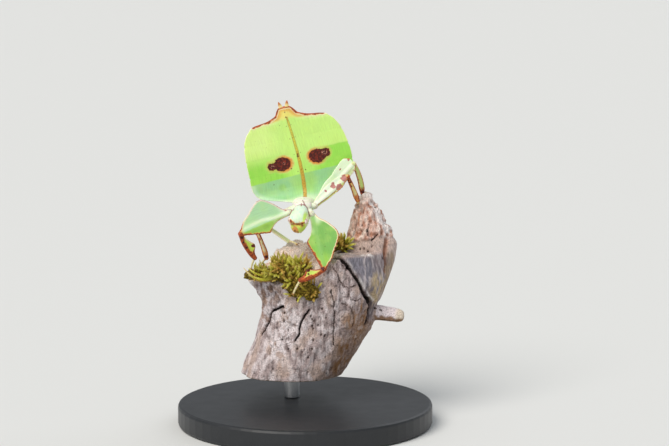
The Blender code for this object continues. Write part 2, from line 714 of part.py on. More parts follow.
def tube_rings(path, radii, sides, start_normal=None, end_normal=None, facing=Vector((0, -1, 0))):
    """Rings round a bent path, each square to it, with its ends on the planes asked for."""
    rings = []
    for k, centre in enumerate(path):
        before = (path[k] - path[k - 1]).normalized() if k else (path[1] - path[0]).normalized()
        after = (path[k + 1] - path[k]).normalized() if k < len(path) - 1 else before
        direction = (before + after).normalized()
        across = direction.cross(facing).normalized()
        up = across.cross(direction)
        ring = oval_ring(centre, across, up, radii[k], radii[k], sides)
        if k == 0 and start_normal:
            ring = slide_to_plane(ring, after, centre, start_normal)
        if k == len(path) - 1 and end_normal:
            ring = slide_to_plane(ring, before, centre, end_normal)
        rings.append(ring)
    return rings


def make_mouthparts(materials, clearance):
    """Lip and jaws under the face, with two jointed palps on each side."""
    lip = ball_mesh(
        "mouthparts", head_point(LABRUM_ALONG, 0.0, -LABRUM_BELOW), LABRUM_RADIUS, LABRUM_STRETCH, 8, 12
    )
    mouth = add_object("mouthparts", lip, MODEL, materials["rust"])
    palps = []
    for side in (-1, 1):
        for points in PALP_POINTS:
            path = [head_point(along, side * aside, above) for along, aside, above in points]
            radii = [PALP_RADIUS * size for size in (1.0, 0.9, 0.75)]
            palps.append(add_object("palp", loft_mesh("palp", tube_rings(path, radii, 6)), MODEL))
    fuse(mouth, palps, "MANIFOLD")
    cut(mouth, clearance)
    smooth_shading(mouth)


def make_head(materials, clearance):
    head = add_object("head", head_mesh(), MODEL, materials["pale_green"])
    for side, word in ((1, "left"), (-1, "right")):
        centre = head_point(EYE_ALONG, side * EYE_ASIDE, EYE_ABOVE)
        eye = add_object("eye_" + word, ball_mesh("eye", centre, EYE_RADIUS), MODEL, materials["eye"])
        cut(head, helper("eye_socket_" + word, ball_mesh("socket", centre, EYE_RADIUS + GAP)))
        smooth_shading(eye)
        path = antenna_path(side)
        radii = [ANTENNA_RADIUS * (1.25 if k < 2 else 1.0 - 0.05 * k) for k in range(len(path))]
        feeler = add_object(
            "antenna_" + word, loft_mesh("antenna", tube_rings(path, radii, 8)), MODEL, materials["rust"]
        )
        cut(feeler, clearance)
        smooth_shading(feeler)
    make_mouthparts(materials, clearance)
    smooth_shading(head)


# Abdomen


def abdomen_frames(count):
    """Centre, across and dorsal directions at even steps along the curled midline."""
    tilted_up = Vector((-math.sin(ABDOMEN_TILT), 0.0, math.cos(ABDOMEN_TILT)))
    tilted_across = Vector((math.cos(ABDOMEN_TILT), 0.0, math.sin(ABDOMEN_TILT)))
    centre = ABDOMEN_START.copy()
    step = ABDOMEN_LENGTH / count
    frames = []
    for k in range(count + 1):
        place = k * step
        raised = ABDOMEN_STAND * smooth_step(place / ABDOMEN_CURL_LENGTH)
        beyond_curl = max(0.0, place - ABDOMEN_CURL_LENGTH)
        raised += ABDOMEN_LEAN * beyond_curl / (ABDOMEN_LENGTH - ABDOMEN_CURL_LENGTH)
        along = Vector((0, 1, 0)) * math.cos(raised) + tilted_up * math.sin(raised)
        tilted = smooth_step(place / ABDOMEN_CURL_LENGTH)
        across = Vector((1, 0, 0)).lerp(tilted_across, tilted).normalized()
        across = (across - along * across.dot(along)).normalized()
        bowed = centre + across * ABDOMEN_BOW * math.sin(math.pi * (place / ABDOMEN_LENGTH) ** 0.8)
        frames.append((bowed, across, across.cross(along).normalized()))
        centre += along * step
    return frames


def abdomen_at(frames, place):
    place = min(max(place, 0.0), ABDOMEN_LENGTH)
    return frames[round(place / ABDOMEN_LENGTH * ABDOMEN_STEPS)]


def abdomen_half_width(place):
    width = read_table(ABDOMEN_WIDTHS, place)[0]
    for end in SEGMENT_ENDS:
        width -= SEGMENT_NOTCH * max(0.0, 1.0 - abs(place - end) / SEGMENT_NOTCH_SPAN)
    return width


def abdomen_section(frames, place):
    centre, across, normal = abdomen_at(frames, place)
    half_width = abdomen_half_width(place)
    more_on_the_right = read_table(ABDOMEN_RIGHT_MORE, place)[0]
    fade = place / ABDOMEN_LENGTH
    gut = min(GUT_HALF_WIDTH * (1.0 - GUT_NARROWS * fade), half_width - ABDOMEN_HALF_THICKNESS)
    top = GUT_TOP_AT_ROOT + (GUT_TOP - GUT_TOP_AT_ROOT) * smooth_step(place / GUT_TOP_SETTLES)
    bottom = GUT_BOTTOM_AT_ROOT + (GUT_BOTTOM_AT_TIP - GUT_BOTTOM_AT_ROOT) * fade
    return plate_section(
        (centre, across, normal), (half_width + more_on_the_right, half_width), gut,
        (top, bottom, ABDOMEN_HALF_THICKNESS), ABDOMEN_SECTION_STEPS, ABDOMEN_CUP,
    )


def make_abdomen(materials):
    frames = abdomen_frames(ABDOMEN_STEPS)
    for name, start, end in ABDOMEN_PARTS:
        first = start + (GAP / 2 if start else 0.0)
        last = end - (GAP / 2 if end < ABDOMEN_LENGTH else 0.0)
        wanted = [row[0] for row in ABDOMEN_WIDTHS + ABDOMEN_RIGHT_MORE]
        for segment_end in SEGMENT_ENDS:
            wanted += [segment_end - SEGMENT_NOTCH_SPAN, segment_end, segment_end + SEGMENT_NOTCH_SPAN]
        between = {place for place in wanted if first + GAP < place < last - GAP}
        rings = [abdomen_section(frames, place) for place in sorted(between | {first, last})]
        obj = add_object(
            name, loft_mesh(name, rings, flip_from=len(rings[0]) // 2), MODEL, materials["leaf_green"]
        )
        smooth_shading(obj)
    make_cerci(materials, frames)


def make_cerci(materials, frames):
    """Two small leaf-like prongs at the abdomen's tip."""
    centre, across, normal = frames[-1]
    along = normal.cross(across)
    for side, word in ((-1, "right"), (1, "left")):
        direction = (along * math.cos(CERCUS_SPLAY) + across * side * math.sin(CERCUS_SPLAY)).normalized()
        aside = direction.cross(normal).normalized()
        root = centre + across * side * CERCUS_ASIDE + along * GAP
        thick, thin = CERCUS_HALF_THICKNESS
        rings = []
        for share, width in CERCUS_OUTLINE:
            middle = root + direction * CERCUS_LENGTH * share
            half_height = thick + (thin - thick) * share
            ring = oval_ring(middle, aside, normal, CERCUS_HALF_WIDTH * width, half_height, 10)
            if share == 0.0:
                ring = slide_to_plane(ring, direction, root, along)
            rings.append(ring)
        obj = add_object("cercus_" + word, loft_mesh("cercus", rings), MODEL, materials["pale_green"])
        smooth_shading(obj)


# Legs


def leg_joints(name):
    return [Vector(point) for point in LEGS[name]]


def mitre(before, at, after):
    """Normal of the plane that halves the bend at a joint."""
    return ((at - before).normalized() + (after - at).normalized()).normalized()


def limb_plate(name, start, end, start_normal, end_normal, facing, lobes, inner_side, material, bow=0.0):
    axis = (end - start).normalized()
    normal = (facing - axis * facing.dot(axis)).normalized()
    across = axis.cross(normal).normalized()
    first = start + start_normal * GAP / 2
    last = end - end_normal * GAP / 2
    rings = []
    for share, outer, inner in lobes:
        low, high = (outer, inner) if inner_side > 0 else (inner, outer)
        shaft = min(SHAFT_HALF_WIDTH, low - LEAST_LOBE, high - LEAST_LOBE)
        middle = start.lerp(end, share) - across * inner_side * bow * 4.0 * share * (1.0 - share)
        ring = plate_section(
            (middle, across, normal), (low, high), shaft,
            (SHAFT_HALF_HEIGHT, SHAFT_HALF_HEIGHT, LOBE_HALF_THICKNESS), LIMB_SECTION_STEPS,
        )
        if share == lobes[0][0]:
            ring = slide_to_plane(ring, axis, first, start_normal)
        if share == lobes[-1][0]:
            ring = slide_to_plane(ring, axis, last, end_normal)
        rings.append(ring)
    obj = add_object(name, loft_mesh(name, rings, flip_from=len(rings[0]) // 2), MODEL, material)
    smooth_shading(obj)
    return obj


def settle_foot(foot, surfaces):
    """The foot's middle and the outward direction there, set one pad above the nearest surface."""
    best = None
    for tree in surfaces:
        point, normal, _, distance = tree.find_nearest(foot * MM)
        if best is None or distance < best[2]:
            best = (point / MM, normal, distance)
    point, normal, _ = best
    return point + normal * (TARSUS_RADIUS + GAP), normal


def tarsus_course(knee, ankle, foot, surfaces):
    """Where the foot stands, the way out of the ground there, its raised middle and its ankle's plane."""
    sole, outward = settle_foot(foot, surfaces)
    lift = ankle.lerp(sole, TARSUS_BEND) + outward * TARSUS_LIFT
    return sole, outward, lift, mitre(knee, ankle, lift)


def make_tarsus(name, ankle, course, material):
    """Slim jointed foot from the ankle to the ground, with a pad and two claws."""
    sole, outward, lift, start_normal = course
    start = ankle + start_normal * GAP / 2
    path, radii = [], []
    for k in range(TARSUS_STEPS + 1):
        t = k / TARSUS_STEPS
        path.append(start * (1 - t) ** 2 + lift * 2 * t * (1 - t) + sole * t * t)
        swell = 1.0 + TARSUS_SWELL * math.cos(2.0 * math.pi * t * TARSUS_JOINTS)
        radii.append(TARSUS_RADIUS * swell * (1.25 - 0.45 * t))
    rings = tube_rings(path, radii, 8, start_normal=start_normal, facing=outward)
    tarsus = add_object(name, loft_mesh(name, rings), MODEL, material)
    heading = (path[-1] - path[-2]).normalized()
    heading = (heading - outward * heading.dot(outward)).normalized()
    aside = heading.cross(outward).normalized()
    claws = []
    for side in (-1, 1):
        claw_path = [
            sole + heading * ahead + aside * side * apart + outward * above
            for ahead, apart, above in CLAW_POINTS
        ]
        claw_radii = [CLAW_RADIUS, CLAW_RADIUS, CLAW_RADIUS / 2]
        claw_rings = tube_rings(claw_path, claw_radii, 6, facing=outward)
        claws.append(add_object("claw", loft_mesh("claw", claw_rings), MODEL))
    fuse(tarsus, claws, "MANIFOLD")
    smooth_shading(tarsus, 60.0)


def make_leg(name, materials, clearances, surfaces):
    inside, base, knee, ankle, foot = leg_joints(name)
    pair, own = name.split("_")[1], name.removeprefix("leg_")
    base_normal = mitre(inside, base, knee)
    knee_normal = mitre(base, knee, ankle)
    course = tarsus_course(knee, ankle, foot, surfaces)
    ankle_normal = course[-1]

    coxa_path = [inside, inside.lerp(base, 0.5), base - base_normal * GAP / 2]
    coxa_rings = tube_rings(
        coxa_path, COXA_RADII, 12, end_normal=base_normal, facing=FACING[name]
    )
    coxa = add_object(name + "_coxa", loft_mesh("coxa", coxa_rings), MODEL, materials["pale_green"])
    for clearance in clearances:
        cut(coxa, clearance)
    smooth_shading(coxa)

    limb_plate(
        name + "_femur", base, knee, base_normal, knee_normal, FACING[name],
        FEMUR_LOBES[own] if own in FEMUR_LOBES else FEMUR_LOBES[pair],
        INNER_SIDE[name], materials["leaf_green"],
    )
    limb_plate(
        name + "_tibia", knee, ankle, knee_normal, ankle_normal, FACING[name],
        TIBIA_LOBES[own] if own in TIBIA_LOBES else TIBIA_LOBES[pair],
        INNER_SIDE[name], materials["rust"], TIBIA_BOWS[name],
    )
    make_tarsus(name + "_tarsus", ankle, course, materials["pale_green"])


clear_scene()
MODEL = new_collection("leaf_insect")
CUTTERS = new_collection("cutters")


def main():
    materials = make_materials()
    make_stand(materials)
    perch = make_perch("perch", MODEL, 0.0, materials["bark"])
    perch_clearance = make_perch("perch_clearance", CUTTERS, GAP)
    perch_clearance.hide_render = True
    perch_clearance.display_type = "WIRE"
    moss = make_moss(materials, perch_clearance)
    make_moss_tuft(materials, perch_clearance)
    surfaces = []
    graph = bpy.context.evaluated_depsgraph_get()
    for obj in (perch, moss):
        smooth_shading(obj)
        surfaces.append(BVHTree.FromObject(obj, graph))
    head_clearance = helper("head_clearance", head_mesh(GAP))
    make_thorax(materials, head_clearance)
    make_head(materials, head_clearance)
    make_abdomen(materials)
    body_clearance = grown_thorax()
    for name in LEGS:
        make_leg(name, materials, (body_clearance, head_clearance), surfaces)


main()
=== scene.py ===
import math
import random

import bmesh
import bpy
import numpy as np
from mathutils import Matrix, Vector, kdtree, noise
from mathutils.bvhtree import BVHTree


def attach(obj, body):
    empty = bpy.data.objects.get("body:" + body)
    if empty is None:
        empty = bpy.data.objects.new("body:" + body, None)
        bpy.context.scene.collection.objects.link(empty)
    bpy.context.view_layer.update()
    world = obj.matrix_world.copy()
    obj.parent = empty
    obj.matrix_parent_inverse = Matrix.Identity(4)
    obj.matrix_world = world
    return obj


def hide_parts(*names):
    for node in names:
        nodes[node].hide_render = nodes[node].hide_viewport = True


# A leaf insect nymph, life size, on a broken branch. Lengths are in millimetres until a mesh is made.
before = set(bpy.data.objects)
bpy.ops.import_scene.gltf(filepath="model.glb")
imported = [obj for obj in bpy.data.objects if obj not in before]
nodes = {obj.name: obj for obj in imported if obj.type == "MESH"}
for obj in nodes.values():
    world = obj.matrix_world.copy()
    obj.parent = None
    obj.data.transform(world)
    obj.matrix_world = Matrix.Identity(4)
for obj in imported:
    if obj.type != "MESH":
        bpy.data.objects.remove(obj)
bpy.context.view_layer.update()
mm = 0.001
print("frame loaded,", len(nodes), "solids")


# Small tools for colours, shader nodes and meshes

def hexToLinear(text):
    parts = [int(text[i:i + 2], 16) / 255 for i in (1, 3, 5)]
    return tuple(v / 12.92 if v <= 0.04045 else ((v + 0.055) / 1.055) ** 2.4 for v in parts) + (1.0,)


def addNode(tree, kind, settings, output=0):
    # a setting names a property, a socket or a socket's place; its value may be a socket or a hex colour
    made = tree.nodes.new("ShaderNode" + kind)
    for key, value in settings.items():
        if isinstance(value, str) and value.startswith("#"):
            value = hexToLinear(value)
        if isinstance(value, bpy.types.NodeSocket):
            tree.links.new(value, made.inputs[key])
        elif isinstance(key, str) and hasattr(made, key):
            setattr(made, key, value)
        else:
            made.inputs[key].default_value = value
    return made.outputs[output]


def newMaterial(name, shaderSettings):
    material = bpy.data.materials.new(name)
    material.use_nodes = True
    shader = material.node_tree.nodes["Principled BSDF"]
    for key, value in shaderSettings.items():
        shader.inputs[key].default_value = value
    return material, material.node_tree, shader


def feed(shader, sources):
    for key, source in sources.items():
        shader.id_data.links.new(source, shader.inputs[key])


def spanOf(source, low, high, atLow=0.0, atHigh=1.0, shape="SMOOTHSTEP"):
    # settings that turn a source's low and high values into two others
    return {
        "interpolation_type": shape, "Value": source, "From Min": low, "From Max": high, "To Min": atLow,
        "To Max": atHigh,
    }


def layered(tree, colour, layers):
    # lays each layer's colour over those before it; a share is a socket or a span's settings
    for share, over in layers:
        if isinstance(share, dict):
            share = addNode(tree, "MapRange", share)
        colour = addNode(tree, "Mix", {"data_type": "RGBA", 0: share, 6: colour, 7: over}, 2)
    return colour


def ragged(tree, edge, grain, size):
    # a distance whose edge wanders with the grain by this many millimetres
    jitter = addNode(tree, "Math", {"operation": "MULTIPLY_ADD", 0: grain, 1: size, 2: -size / 2})
    return addNode(tree, "Math", {"operation": "ADD", 0: edge, 1: jitter})


def newPiece(name, mesh, material, replaced=()):
    piece = bpy.data.objects.new(name, mesh)
    bpy.context.scene.collection.objects.link(piece)
    mesh.materials.clear()
    mesh.materials.append(material)
    for polygon in mesh.polygons:
        polygon.material_index = 0
    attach(piece, "root")
    if replaced:
        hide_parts(*replaced)
    return piece


def pointsOf(mesh):
    flat = np.empty(len(mesh.vertices) * 3)
    mesh.vertices.foreach_get("co", flat)
    return flat.reshape(-1, 3) / mm


def normalsOf(mesh):
    flat = np.empty(len(mesh.vertices) * 3)
    mesh.vertices.foreach_get("normal", flat)
    return flat.reshape(-1, 3)


def setPoints(mesh, points):
    mesh.vertices.foreach_set("co", (points * mm).ravel())
    mesh.update()


def setFields(mesh, fields):
    # every point's values, for the materials; "tone" is a colour
    for name, values in fields.items():
        if name == "tone":
            colours = np.c_[values, np.ones(len(values))].astype(np.float32)
            mesh.attributes.new(name, "FLOAT_COLOR", "POINT").data.foreach_set("color", colours.ravel())
        else:
            made = mesh.attributes.new(name, "FLOAT", "POINT")
            made.data.foreach_set("value", np.asarray(values, np.float32))


def meshFrom(name, points, faces, weld=0.0):
    mesh = bpy.data.meshes.new(name)
    mesh.from_pydata([tuple(Vector(p) * mm) for p in points], [], faces)
    builder = bmesh.new()
    builder.from_mesh(mesh)
    if weld:
        bmesh.ops.remove_doubles(builder, verts=builder.verts, dist=weld * mm)
    bmesh.ops.recalc_face_normals(builder, faces=builder.faces)
    builder.to_mesh(mesh)
    builder.free()
    mesh.shade_smooth()
    return mesh


def treeOf(points):
    tree = kdtree.KDTree(len(points))
    for i, point in enumerate(points):
        tree.insert(point, i)
    tree.balance()
    return tree


def lumps(points, size, seed=0.0, tallness=1.0):
    # smooth noise from -1 to 1 with lumps of this size, made taller by a tallness under 1
    shift = Vector((seed * 13.7, seed * 5.1, seed * 9.3))
    return np.array([noise.noise(Vector(p) / size + shift) for p in points * np.array([1.0, 1.0, tallness])])


def ramp(values, low, high):
    share = np.clip((values - low) / (high - low), 0.0, 1.0)
    return share * share * (3.0 - 2.0 * share)


def fall(values, low, high):
    return 1 - ramp(values, low, high)


def bell(values, centre, width):
    return np.exp(-(((values - centre) / width) ** 2))


def eased(table, places):
    # smooth curve through a table's rows that never overshoots them
    rows = np.array(table, float)
    x, y = rows[:, 0], rows[:, 1:]
    steps = np.diff(x)[:, None]
    slopes = np.diff(y, axis=0) / steps
    before, after = slopes[:-1], slopes[1:]
    total = np.where(before + after == 0, 1, before + after)
    inner = np.where(before * after > 0, 2.0 * before * after / total, 0.0)
    tangents = np.vstack([slopes[:1], inner, slopes[-1:]])
    places = np.clip(np.asarray(places, float), x[0], x[-1])
    k = np.clip(np.searchsorted(x, places, side="right") - 1, 0, len(x) - 2)
    t = ((places - x[k]) / steps[k, 0])[:, None]
    h = steps[k]
    return (y[k] * (1 + 2 * t) * (1 - t) ** 2 + tangents[k] * h * t * (1 - t) ** 2
            + y[k + 1] * t * t * (3 - 2 * t) + tangents[k + 1] * h * t * t * (t - 1))


def remeshed(mesh, voxel, smoothing):
    # one closed surface round all the shells of a mesh
    helper = bpy.data.objects.new("helper", mesh)
    bpy.context.scene.collection.objects.link(helper)
    wrap = helper.modifiers.new("wrap", "REMESH")
    wrap.mode = "VOXEL"
    wrap.voxel_size = voxel * mm
    wrap.use_smooth_shade = True
    soften = helper.modifiers.new("soften", "SMOOTH")
    soften.factor = 0.5
    soften.iterations = smoothing
    graph = bpy.context.evaluated_depsgraph_get()
    made = bpy.data.meshes.new_from_object(helper.evaluated_get(graph))
    bpy.data.objects.remove(helper)
    return made


# Studio: the photograph's viewing angle, a pale floor and soft light

studio = {
    "target": (8.26, 0.0, 57.116),
    "distance": 600.0,
    "elevation": 8.0,
    "lens": 115.31,
    "floorSize": 40.0,  # metres
    "floorColour": "#dcdddc",
    "skyColour": "#eef3f7",
    "skyStrength": 0.42,
    # way towards the lamp, strength, softness in degrees, colour
    "lamps": {
        "softKey": ((-0.55, -0.7, 0.95), 2.7, 38.0, "#fffaf3"),
        "softBack": ((0.7, 0.75, 0.75), 0.55, 50.0, "#f6faff"),
    },
}


def makeStudio():
    scene = bpy.context.scene
    scene.view_settings.view_transform = "Standard"
    camera = bpy.data.objects.new("camera", bpy.data.cameras.new("camera"))
    scene.collection.objects.link(camera)
    rise = math.radians(studio["elevation"])
    back = Vector((0.0, -math.cos(rise), math.sin(rise)))
    camera.location = (Vector(studio["target"]) + back * studio["distance"]) * mm
    camera.rotation_euler = (-back).to_track_quat("-Z", "Y").to_euler()
    camera.data.lens = studio["lens"]
    camera.data.sensor_width = 36.0
    camera.data.clip_start = 0.01
    scene.camera = camera

    world = bpy.data.worlds.new("paleRoom")
    world.use_nodes = True
    sky = world.node_tree.nodes["Background"]
    sky.inputs["Color"].default_value = hexToLinear(studio["skyColour"])
    sky.inputs["Strength"].default_value = studio["skyStrength"]
    scene.world = world

    # broad suns light the whole floor alike
    for name, (way, strength, softness, tint) in studio["lamps"].items():
        lamp = bpy.data.lights.new(name, "SUN")
        lamp.energy = strength
        lamp.angle = math.radians(softness)
        lamp.color = hexToLinear(tint)[:3]
        holder = bpy.data.objects.new(name, lamp)
        scene.collection.objects.link(holder)
        holder.rotation_euler = (-Vector(way)).to_track_quat("-Z", "Y").to_euler()

    # Matt seamless paper: it shows soft shadows and nothing else
    paper, tree, shader = newMaterial("seamlessPaper", {
        "Base Color": hexToLinear(studio["floorColour"]), "Roughness": 0.9, "Specular IOR Level": 0.2,
    })
    mesh = bpy.data.meshes.new("floor")
    half = studio["floorSize"] / 2
    corners = [(-half, -half, 0), (half, -half, 0), (half, half, 0), (-half, half, 0)]
    mesh.from_pydata(corners, [], [(0, 1, 2, 3)])
    mesh.materials.append(paper)
    floor = bpy.data.objects.new("floor", mesh)
    floor.location.z = -0.0001
    scene.collection.objects.link(floor)


makeStudio()
print("studio made")


# The insect's own sizes: the same joints and widths as its solids

thorax = {
    "x": -0.45,
    "z": 62.0,
    "squareness": 2.5,
    # place along y, half width, half height
    "stations": (
        (-4.6, 1.6, 1.1), (-4.2, 2.0, 1.4), (-2.9, 2.35, 1.65), (-1.75, 2.1, 1.55), (-1.5, 1.9, 1.42),
        (-1.2, 2.1, 1.6), (-0.4, 2.3, 1.8), (1.2, 2.7, 1.95), (2.4, 2.92, 1.88), (2.6, 2.8, 1.8),
        (2.85, 2.95, 1.88), (4.0, 3.1, 1.9), (5.6, 2.95, 1.72), (6.4, 2.7, 1.5),
    ),
}

head = {
    "neck": (-0.8, -4.2, 62.1),
    "direction": (-0.2, -0.52, -0.83),
    "tilt": -0.08,
    "squareness": 2.25,
    # distance from the neck, half width, half height, how far the middle lies below the axis
    "stations": (
        (-0.5, 0.7, 0.6, 0.0), (0.0, 1.4, 1.3, 0.0), (0.5, 1.75, 1.65, 0.0), (1.5, 2.2, 2.08, 0.0),
        (2.6, 2.58, 2.33, 0.0), (3.6, 2.76, 2.36, 0.0), (4.6, 2.7, 2.22, 0.0), (5.3, 2.5, 1.9, 0.05),
        (5.7, 2.3, 1.55, 0.35), (6.3, 1.95, 1.35, 0.5), (6.9, 1.5, 1.1, 0.65), (7.3, 0.95, 0.75, 0.75),
    ),
    "eye": (4.45, 2.12, 0.75),
    "eyeRadius": 0.85,
    "eyeShape": (1.08, 0.98, 0.95),
    "feeler": (5.65, 1.6, 0.7),
}

abdomen = {
    "start": (-0.45, 5.95, 62.1),
    "length": 31.2,
    "tilt": math.radians(12.0),
    "curlLength": 9.5,
    "stand": math.radians(87.0),
    "lean": math.radians(11.0),
    "bow": 1.3,
    "steps": 624,
    "cup": 0.0028,
    "halfThickness": 0.21,
    "notch": (0.22, 0.45),  # depth and reach of the notches where segments meet
    "gutWidth": 3.4,
    "gutTop": (1.5, 0.42),  # height of the raised middle at the thorax and farther back
    "gutBottom": (1.6, 0.8),
    "segments": (4.6, 8.2, 12.7, 17.3, 21.8, 26.2),
    # distance along the midline, half width
    "widths": (
        (0.0, 3.0), (0.9, 3.7), (2.0, 5.6), (3.0, 6.9), (4.3, 8.6), (6.1, 11.2), (7.7, 12.7),
        (9.8, 14.0), (12.0, 14.8), (15.3, 14.9), (19.0, 14.5), (22.4, 13.9), (24.8, 12.9), (26.3, 11.8),
        (27.1, 10.7), (27.5, 9.3), (27.65, 7.7), (27.95, 5.9), (28.5, 4.3), (29.0, 3.3), (30.0, 2.6),
        (30.7, 2.1), (31.2, 1.5),
    ),
    # the insect's right side is a little wider: distance along the midline, millimetres more
    "rightMore": (
        (0.0, 0.0), (3.0, 0.2), (4.3, 0.9), (6.1, 1.6), (7.7, 1.7), (9.0, 1.4), (10.5, 0.9), (12.0, 0.5),
        (15.3, 0.35), (19.0, 0.5), (22.4, 0.45), (24.8, 0.2), (26.3, 0.0), (31.2, 0.0),
    ),
}

cercus = {
    "spread": 0.21,  # radians from straight back
    "apart": 0.8,
    "sunk": 0.4,
    "length": 2.2,
    # share of the length, half width, half thickness
    "stations": ((0, 0.55, 0.28), (0.3, 0.62, 0.28), (0.65, 0.45, 0.24), (1, 0.12, 0.12)),
}

towardsFront = (0.0, -0.99, 0.14)
# inside, base, knee, ankle and foot of each leg, the way its flat side faces, and the inner lobe's side
legs = {
    "front_right": (((-1.5, -3.1, 61.4), (-4.4, -4.9, 60.7), (-17.6, -11.0, 55.6), (-13.8, -7.2, 48.3),
                     (-14.9, -4.6, 45.2)), towardsFront, -1),
    "front_left": (((0.4, -3.1, 61.3), (1.9, -4.9, 60.4), (5.4, -9.6, 45.6), (-1.2, -11.6, 42.8),
                    (-3.0, -9.6, 38.6)), towardsFront, 1),
    "mid_right": (((-2.0, 0.4, 61.2), (-4.3, -0.4, 60.9), (-13.7, -4.0, 56.0), (-10.7, -3.6, 47.7),
                   (-12.4, -2.6, 44.6)), (-0.2, -0.7, 0.7), 1),
    "mid_left": (((0.9, 0.4, 61.6), (2.75, 0.2, 61.9), (11.95, 4.0, 69.7), (14.85, 8.0, 62.4),
                  (15.6, 10.4, 61.1)), towardsFront, -1),
    "hind_right": (((-2.2, 4.2, 61.0), (-4.4, 5.2, 59.8), (-13.4, 14.0, 55.7), (-5.0, 13.2, 50.0),
                    (-2.4, 12.0, 48.6)), (-0.3, -0.5, 0.8), 1),
    "hind_left": (((1.3, 4.2, 61.5), (3.3, 4.1, 62.0), (13.7, 7.9, 72.95), (16.2, 11.6, 64.1),
                   (17.5, 13.0, 63.3)), towardsFront, -1),
}
# share of the femur's length, reach of the outer and of the inner lobe
femurLobes = {
    "front": (
        (0.00, 0.9, 0.85), (0.06, 1.4, 0.8), (0.11, 2.1, 0.8), (0.17, 3.3, 0.85), (0.25, 4.5, 1.0),
        (0.35, 5.7, 1.6), (0.42, 6.1, 2.4), (0.475, 6.15, 3.1), (0.54, 5.8, 2.85), (0.62, 5.15, 2.5),
        (0.72, 4.1, 2.05), (0.85, 2.9, 1.4), (0.94, 1.5, 0.95), (1.00, 0.8, 0.75),
    ),
    "hind": (
        (0.00, 0.9, 0.9), (0.12, 1.1, 1.1), (0.30, 1.4, 1.25), (0.50, 1.7, 1.45), (0.70, 2.1, 2.0),
        (0.86, 2.1, 2.5), (0.93, 1.9, 2.4), (0.97, 1.3, 1.5), (1.00, 0.85, 0.85),
    ),
    "front_right": (
        (0.00, 0.9, 0.85), (0.06, 1.4, 0.8), (0.11, 2.1, 0.8), (0.17, 3.35, 0.85), (0.25, 4.7, 1.0),
        (0.35, 6.0, 1.6), (0.42, 6.5, 2.4), (0.475, 6.5, 3.1), (0.54, 6.15, 2.85), (0.62, 5.4, 2.5),
        (0.72, 4.3, 2.05), (0.85, 3.0, 1.4), (0.94, 1.6, 0.95), (1.00, 0.8, 0.75),
    ),
    "mid_right": (
        (0.00, 0.85, 0.9), (0.10, 0.85, 1.1), (0.27, 0.95, 1.3), (0.46, 1.15, 1.6), (0.60, 1.5, 1.8),
        (0.70, 1.7, 1.9), (0.82, 1.5, 1.7), (0.90, 1.2, 1.3), (0.96, 1.0, 0.95), (1.00, 0.8, 0.8),
    ),
    "mid_left": (
        (0.00, 0.8, 0.9), (0.06, 0.76, 1.1), (0.16, 0.85, 1.5), (0.32, 1.1, 1.85), (0.45, 1.2, 2.05),
        (0.56, 1.3, 2.15), (0.66, 1.35, 2.1), (0.74, 1.35, 2.05), (0.82, 1.1, 1.85), (0.90, 0.8, 1.6),
        (0.96, 0.76, 1.35), (1.00, 0.76, 0.85),
    ),
    "hind_left": (
        (0.00, 0.9, 0.9), (0.12, 1.1, 1.35), (0.19, 1.2, 1.7), (0.30, 1.4, 2.2), (0.41, 1.5, 2.5),
        (0.54, 1.7, 2.5), (0.66, 1.8, 2.9), (0.75, 1.8, 3.05), (0.88, 1.7, 3.3), (0.95, 1.4, 3.1),
        (1.00, 0.9, 2.2),
    ),
}
tibiaLobes = {
    "hind_right": (
        (0.00, 0.62, 0.62), (0.25, 0.62, 0.58), (0.55, 0.62, 0.58), (0.82, 0.66, 0.62), (1.00, 0.62, 0.62),
    ),
    "front": (
        (0.00, 0.66, 0.66), (0.14, 0.72, 0.75), (0.28, 0.78, 1.1), (0.44, 0.8, 1.75), (0.56, 0.8, 2.3),
        (0.63, 0.8, 2.15), (0.76, 0.8, 1.3), (0.88, 0.76, 0.8), (1.00, 0.62, 0.62),
    ),
    "mid": (
        (0.00, 0.58, 0.58), (0.25, 0.6, 0.6), (0.55, 0.66, 0.66), (0.82, 0.82, 0.76), (1.00, 0.62, 0.62),
    ),
    "hind": (
        (0.00, 0.62, 0.62), (0.25, 0.76, 0.7), (0.55, 0.86, 0.76), (0.82, 0.9, 0.8), (1.00, 0.62, 0.62),
    ),
}
limbs = {
    # half width and half height of the raised middle
    "shaft": {
        "front_right": (1.5, 0.5), "front_left": (1.7, 0.34), "femur": (0.8, 0.5), "tibia": (0.75, 0.56),
    },
    "plateHalfThickness": 0.2,
    "cup": 0.006,
    "bend": (0.62, 0.6),  # where a foot bends, as a share of its way, and how far it rises there
    "soleLift": 0.3,
    "tibiaBow": {
        "front_right": 0.35, "front_left": 0.35, "mid_right": 0.25, "mid_left": -0.1, "hind_right": 0.0,
        "hind_left": -0.5,
    },
    "toothSpacing": 0.95,
    "toothHeight": 0.13,
    "kneeRadius": 0.74,
    "ankleRadius": 0.6,
    "coxaRadii": (1.15, 1.12, 0.9),
    "footRadius": 0.34,
    "footJoints": 5,
    "clawRadius": 0.13,
}


# Shells: closed surfaces that overlap, each point knowing its part and its place along it

def ringFaces(first, count, rows):
    # faces of a closed tube whose rings of points follow one another
    faces = []
    for row in range(rows - 1):
        low = first + row * count
        for i in range(count):
            j = (i + 1) % count
            faces.append((low + i, low + j, low + count + j, low + count + i))
    faces.append(tuple(first + i for i in reversed(range(count))))
    faces.append(tuple(first + (rows - 1) * count + i for i in range(count)))
    return faces


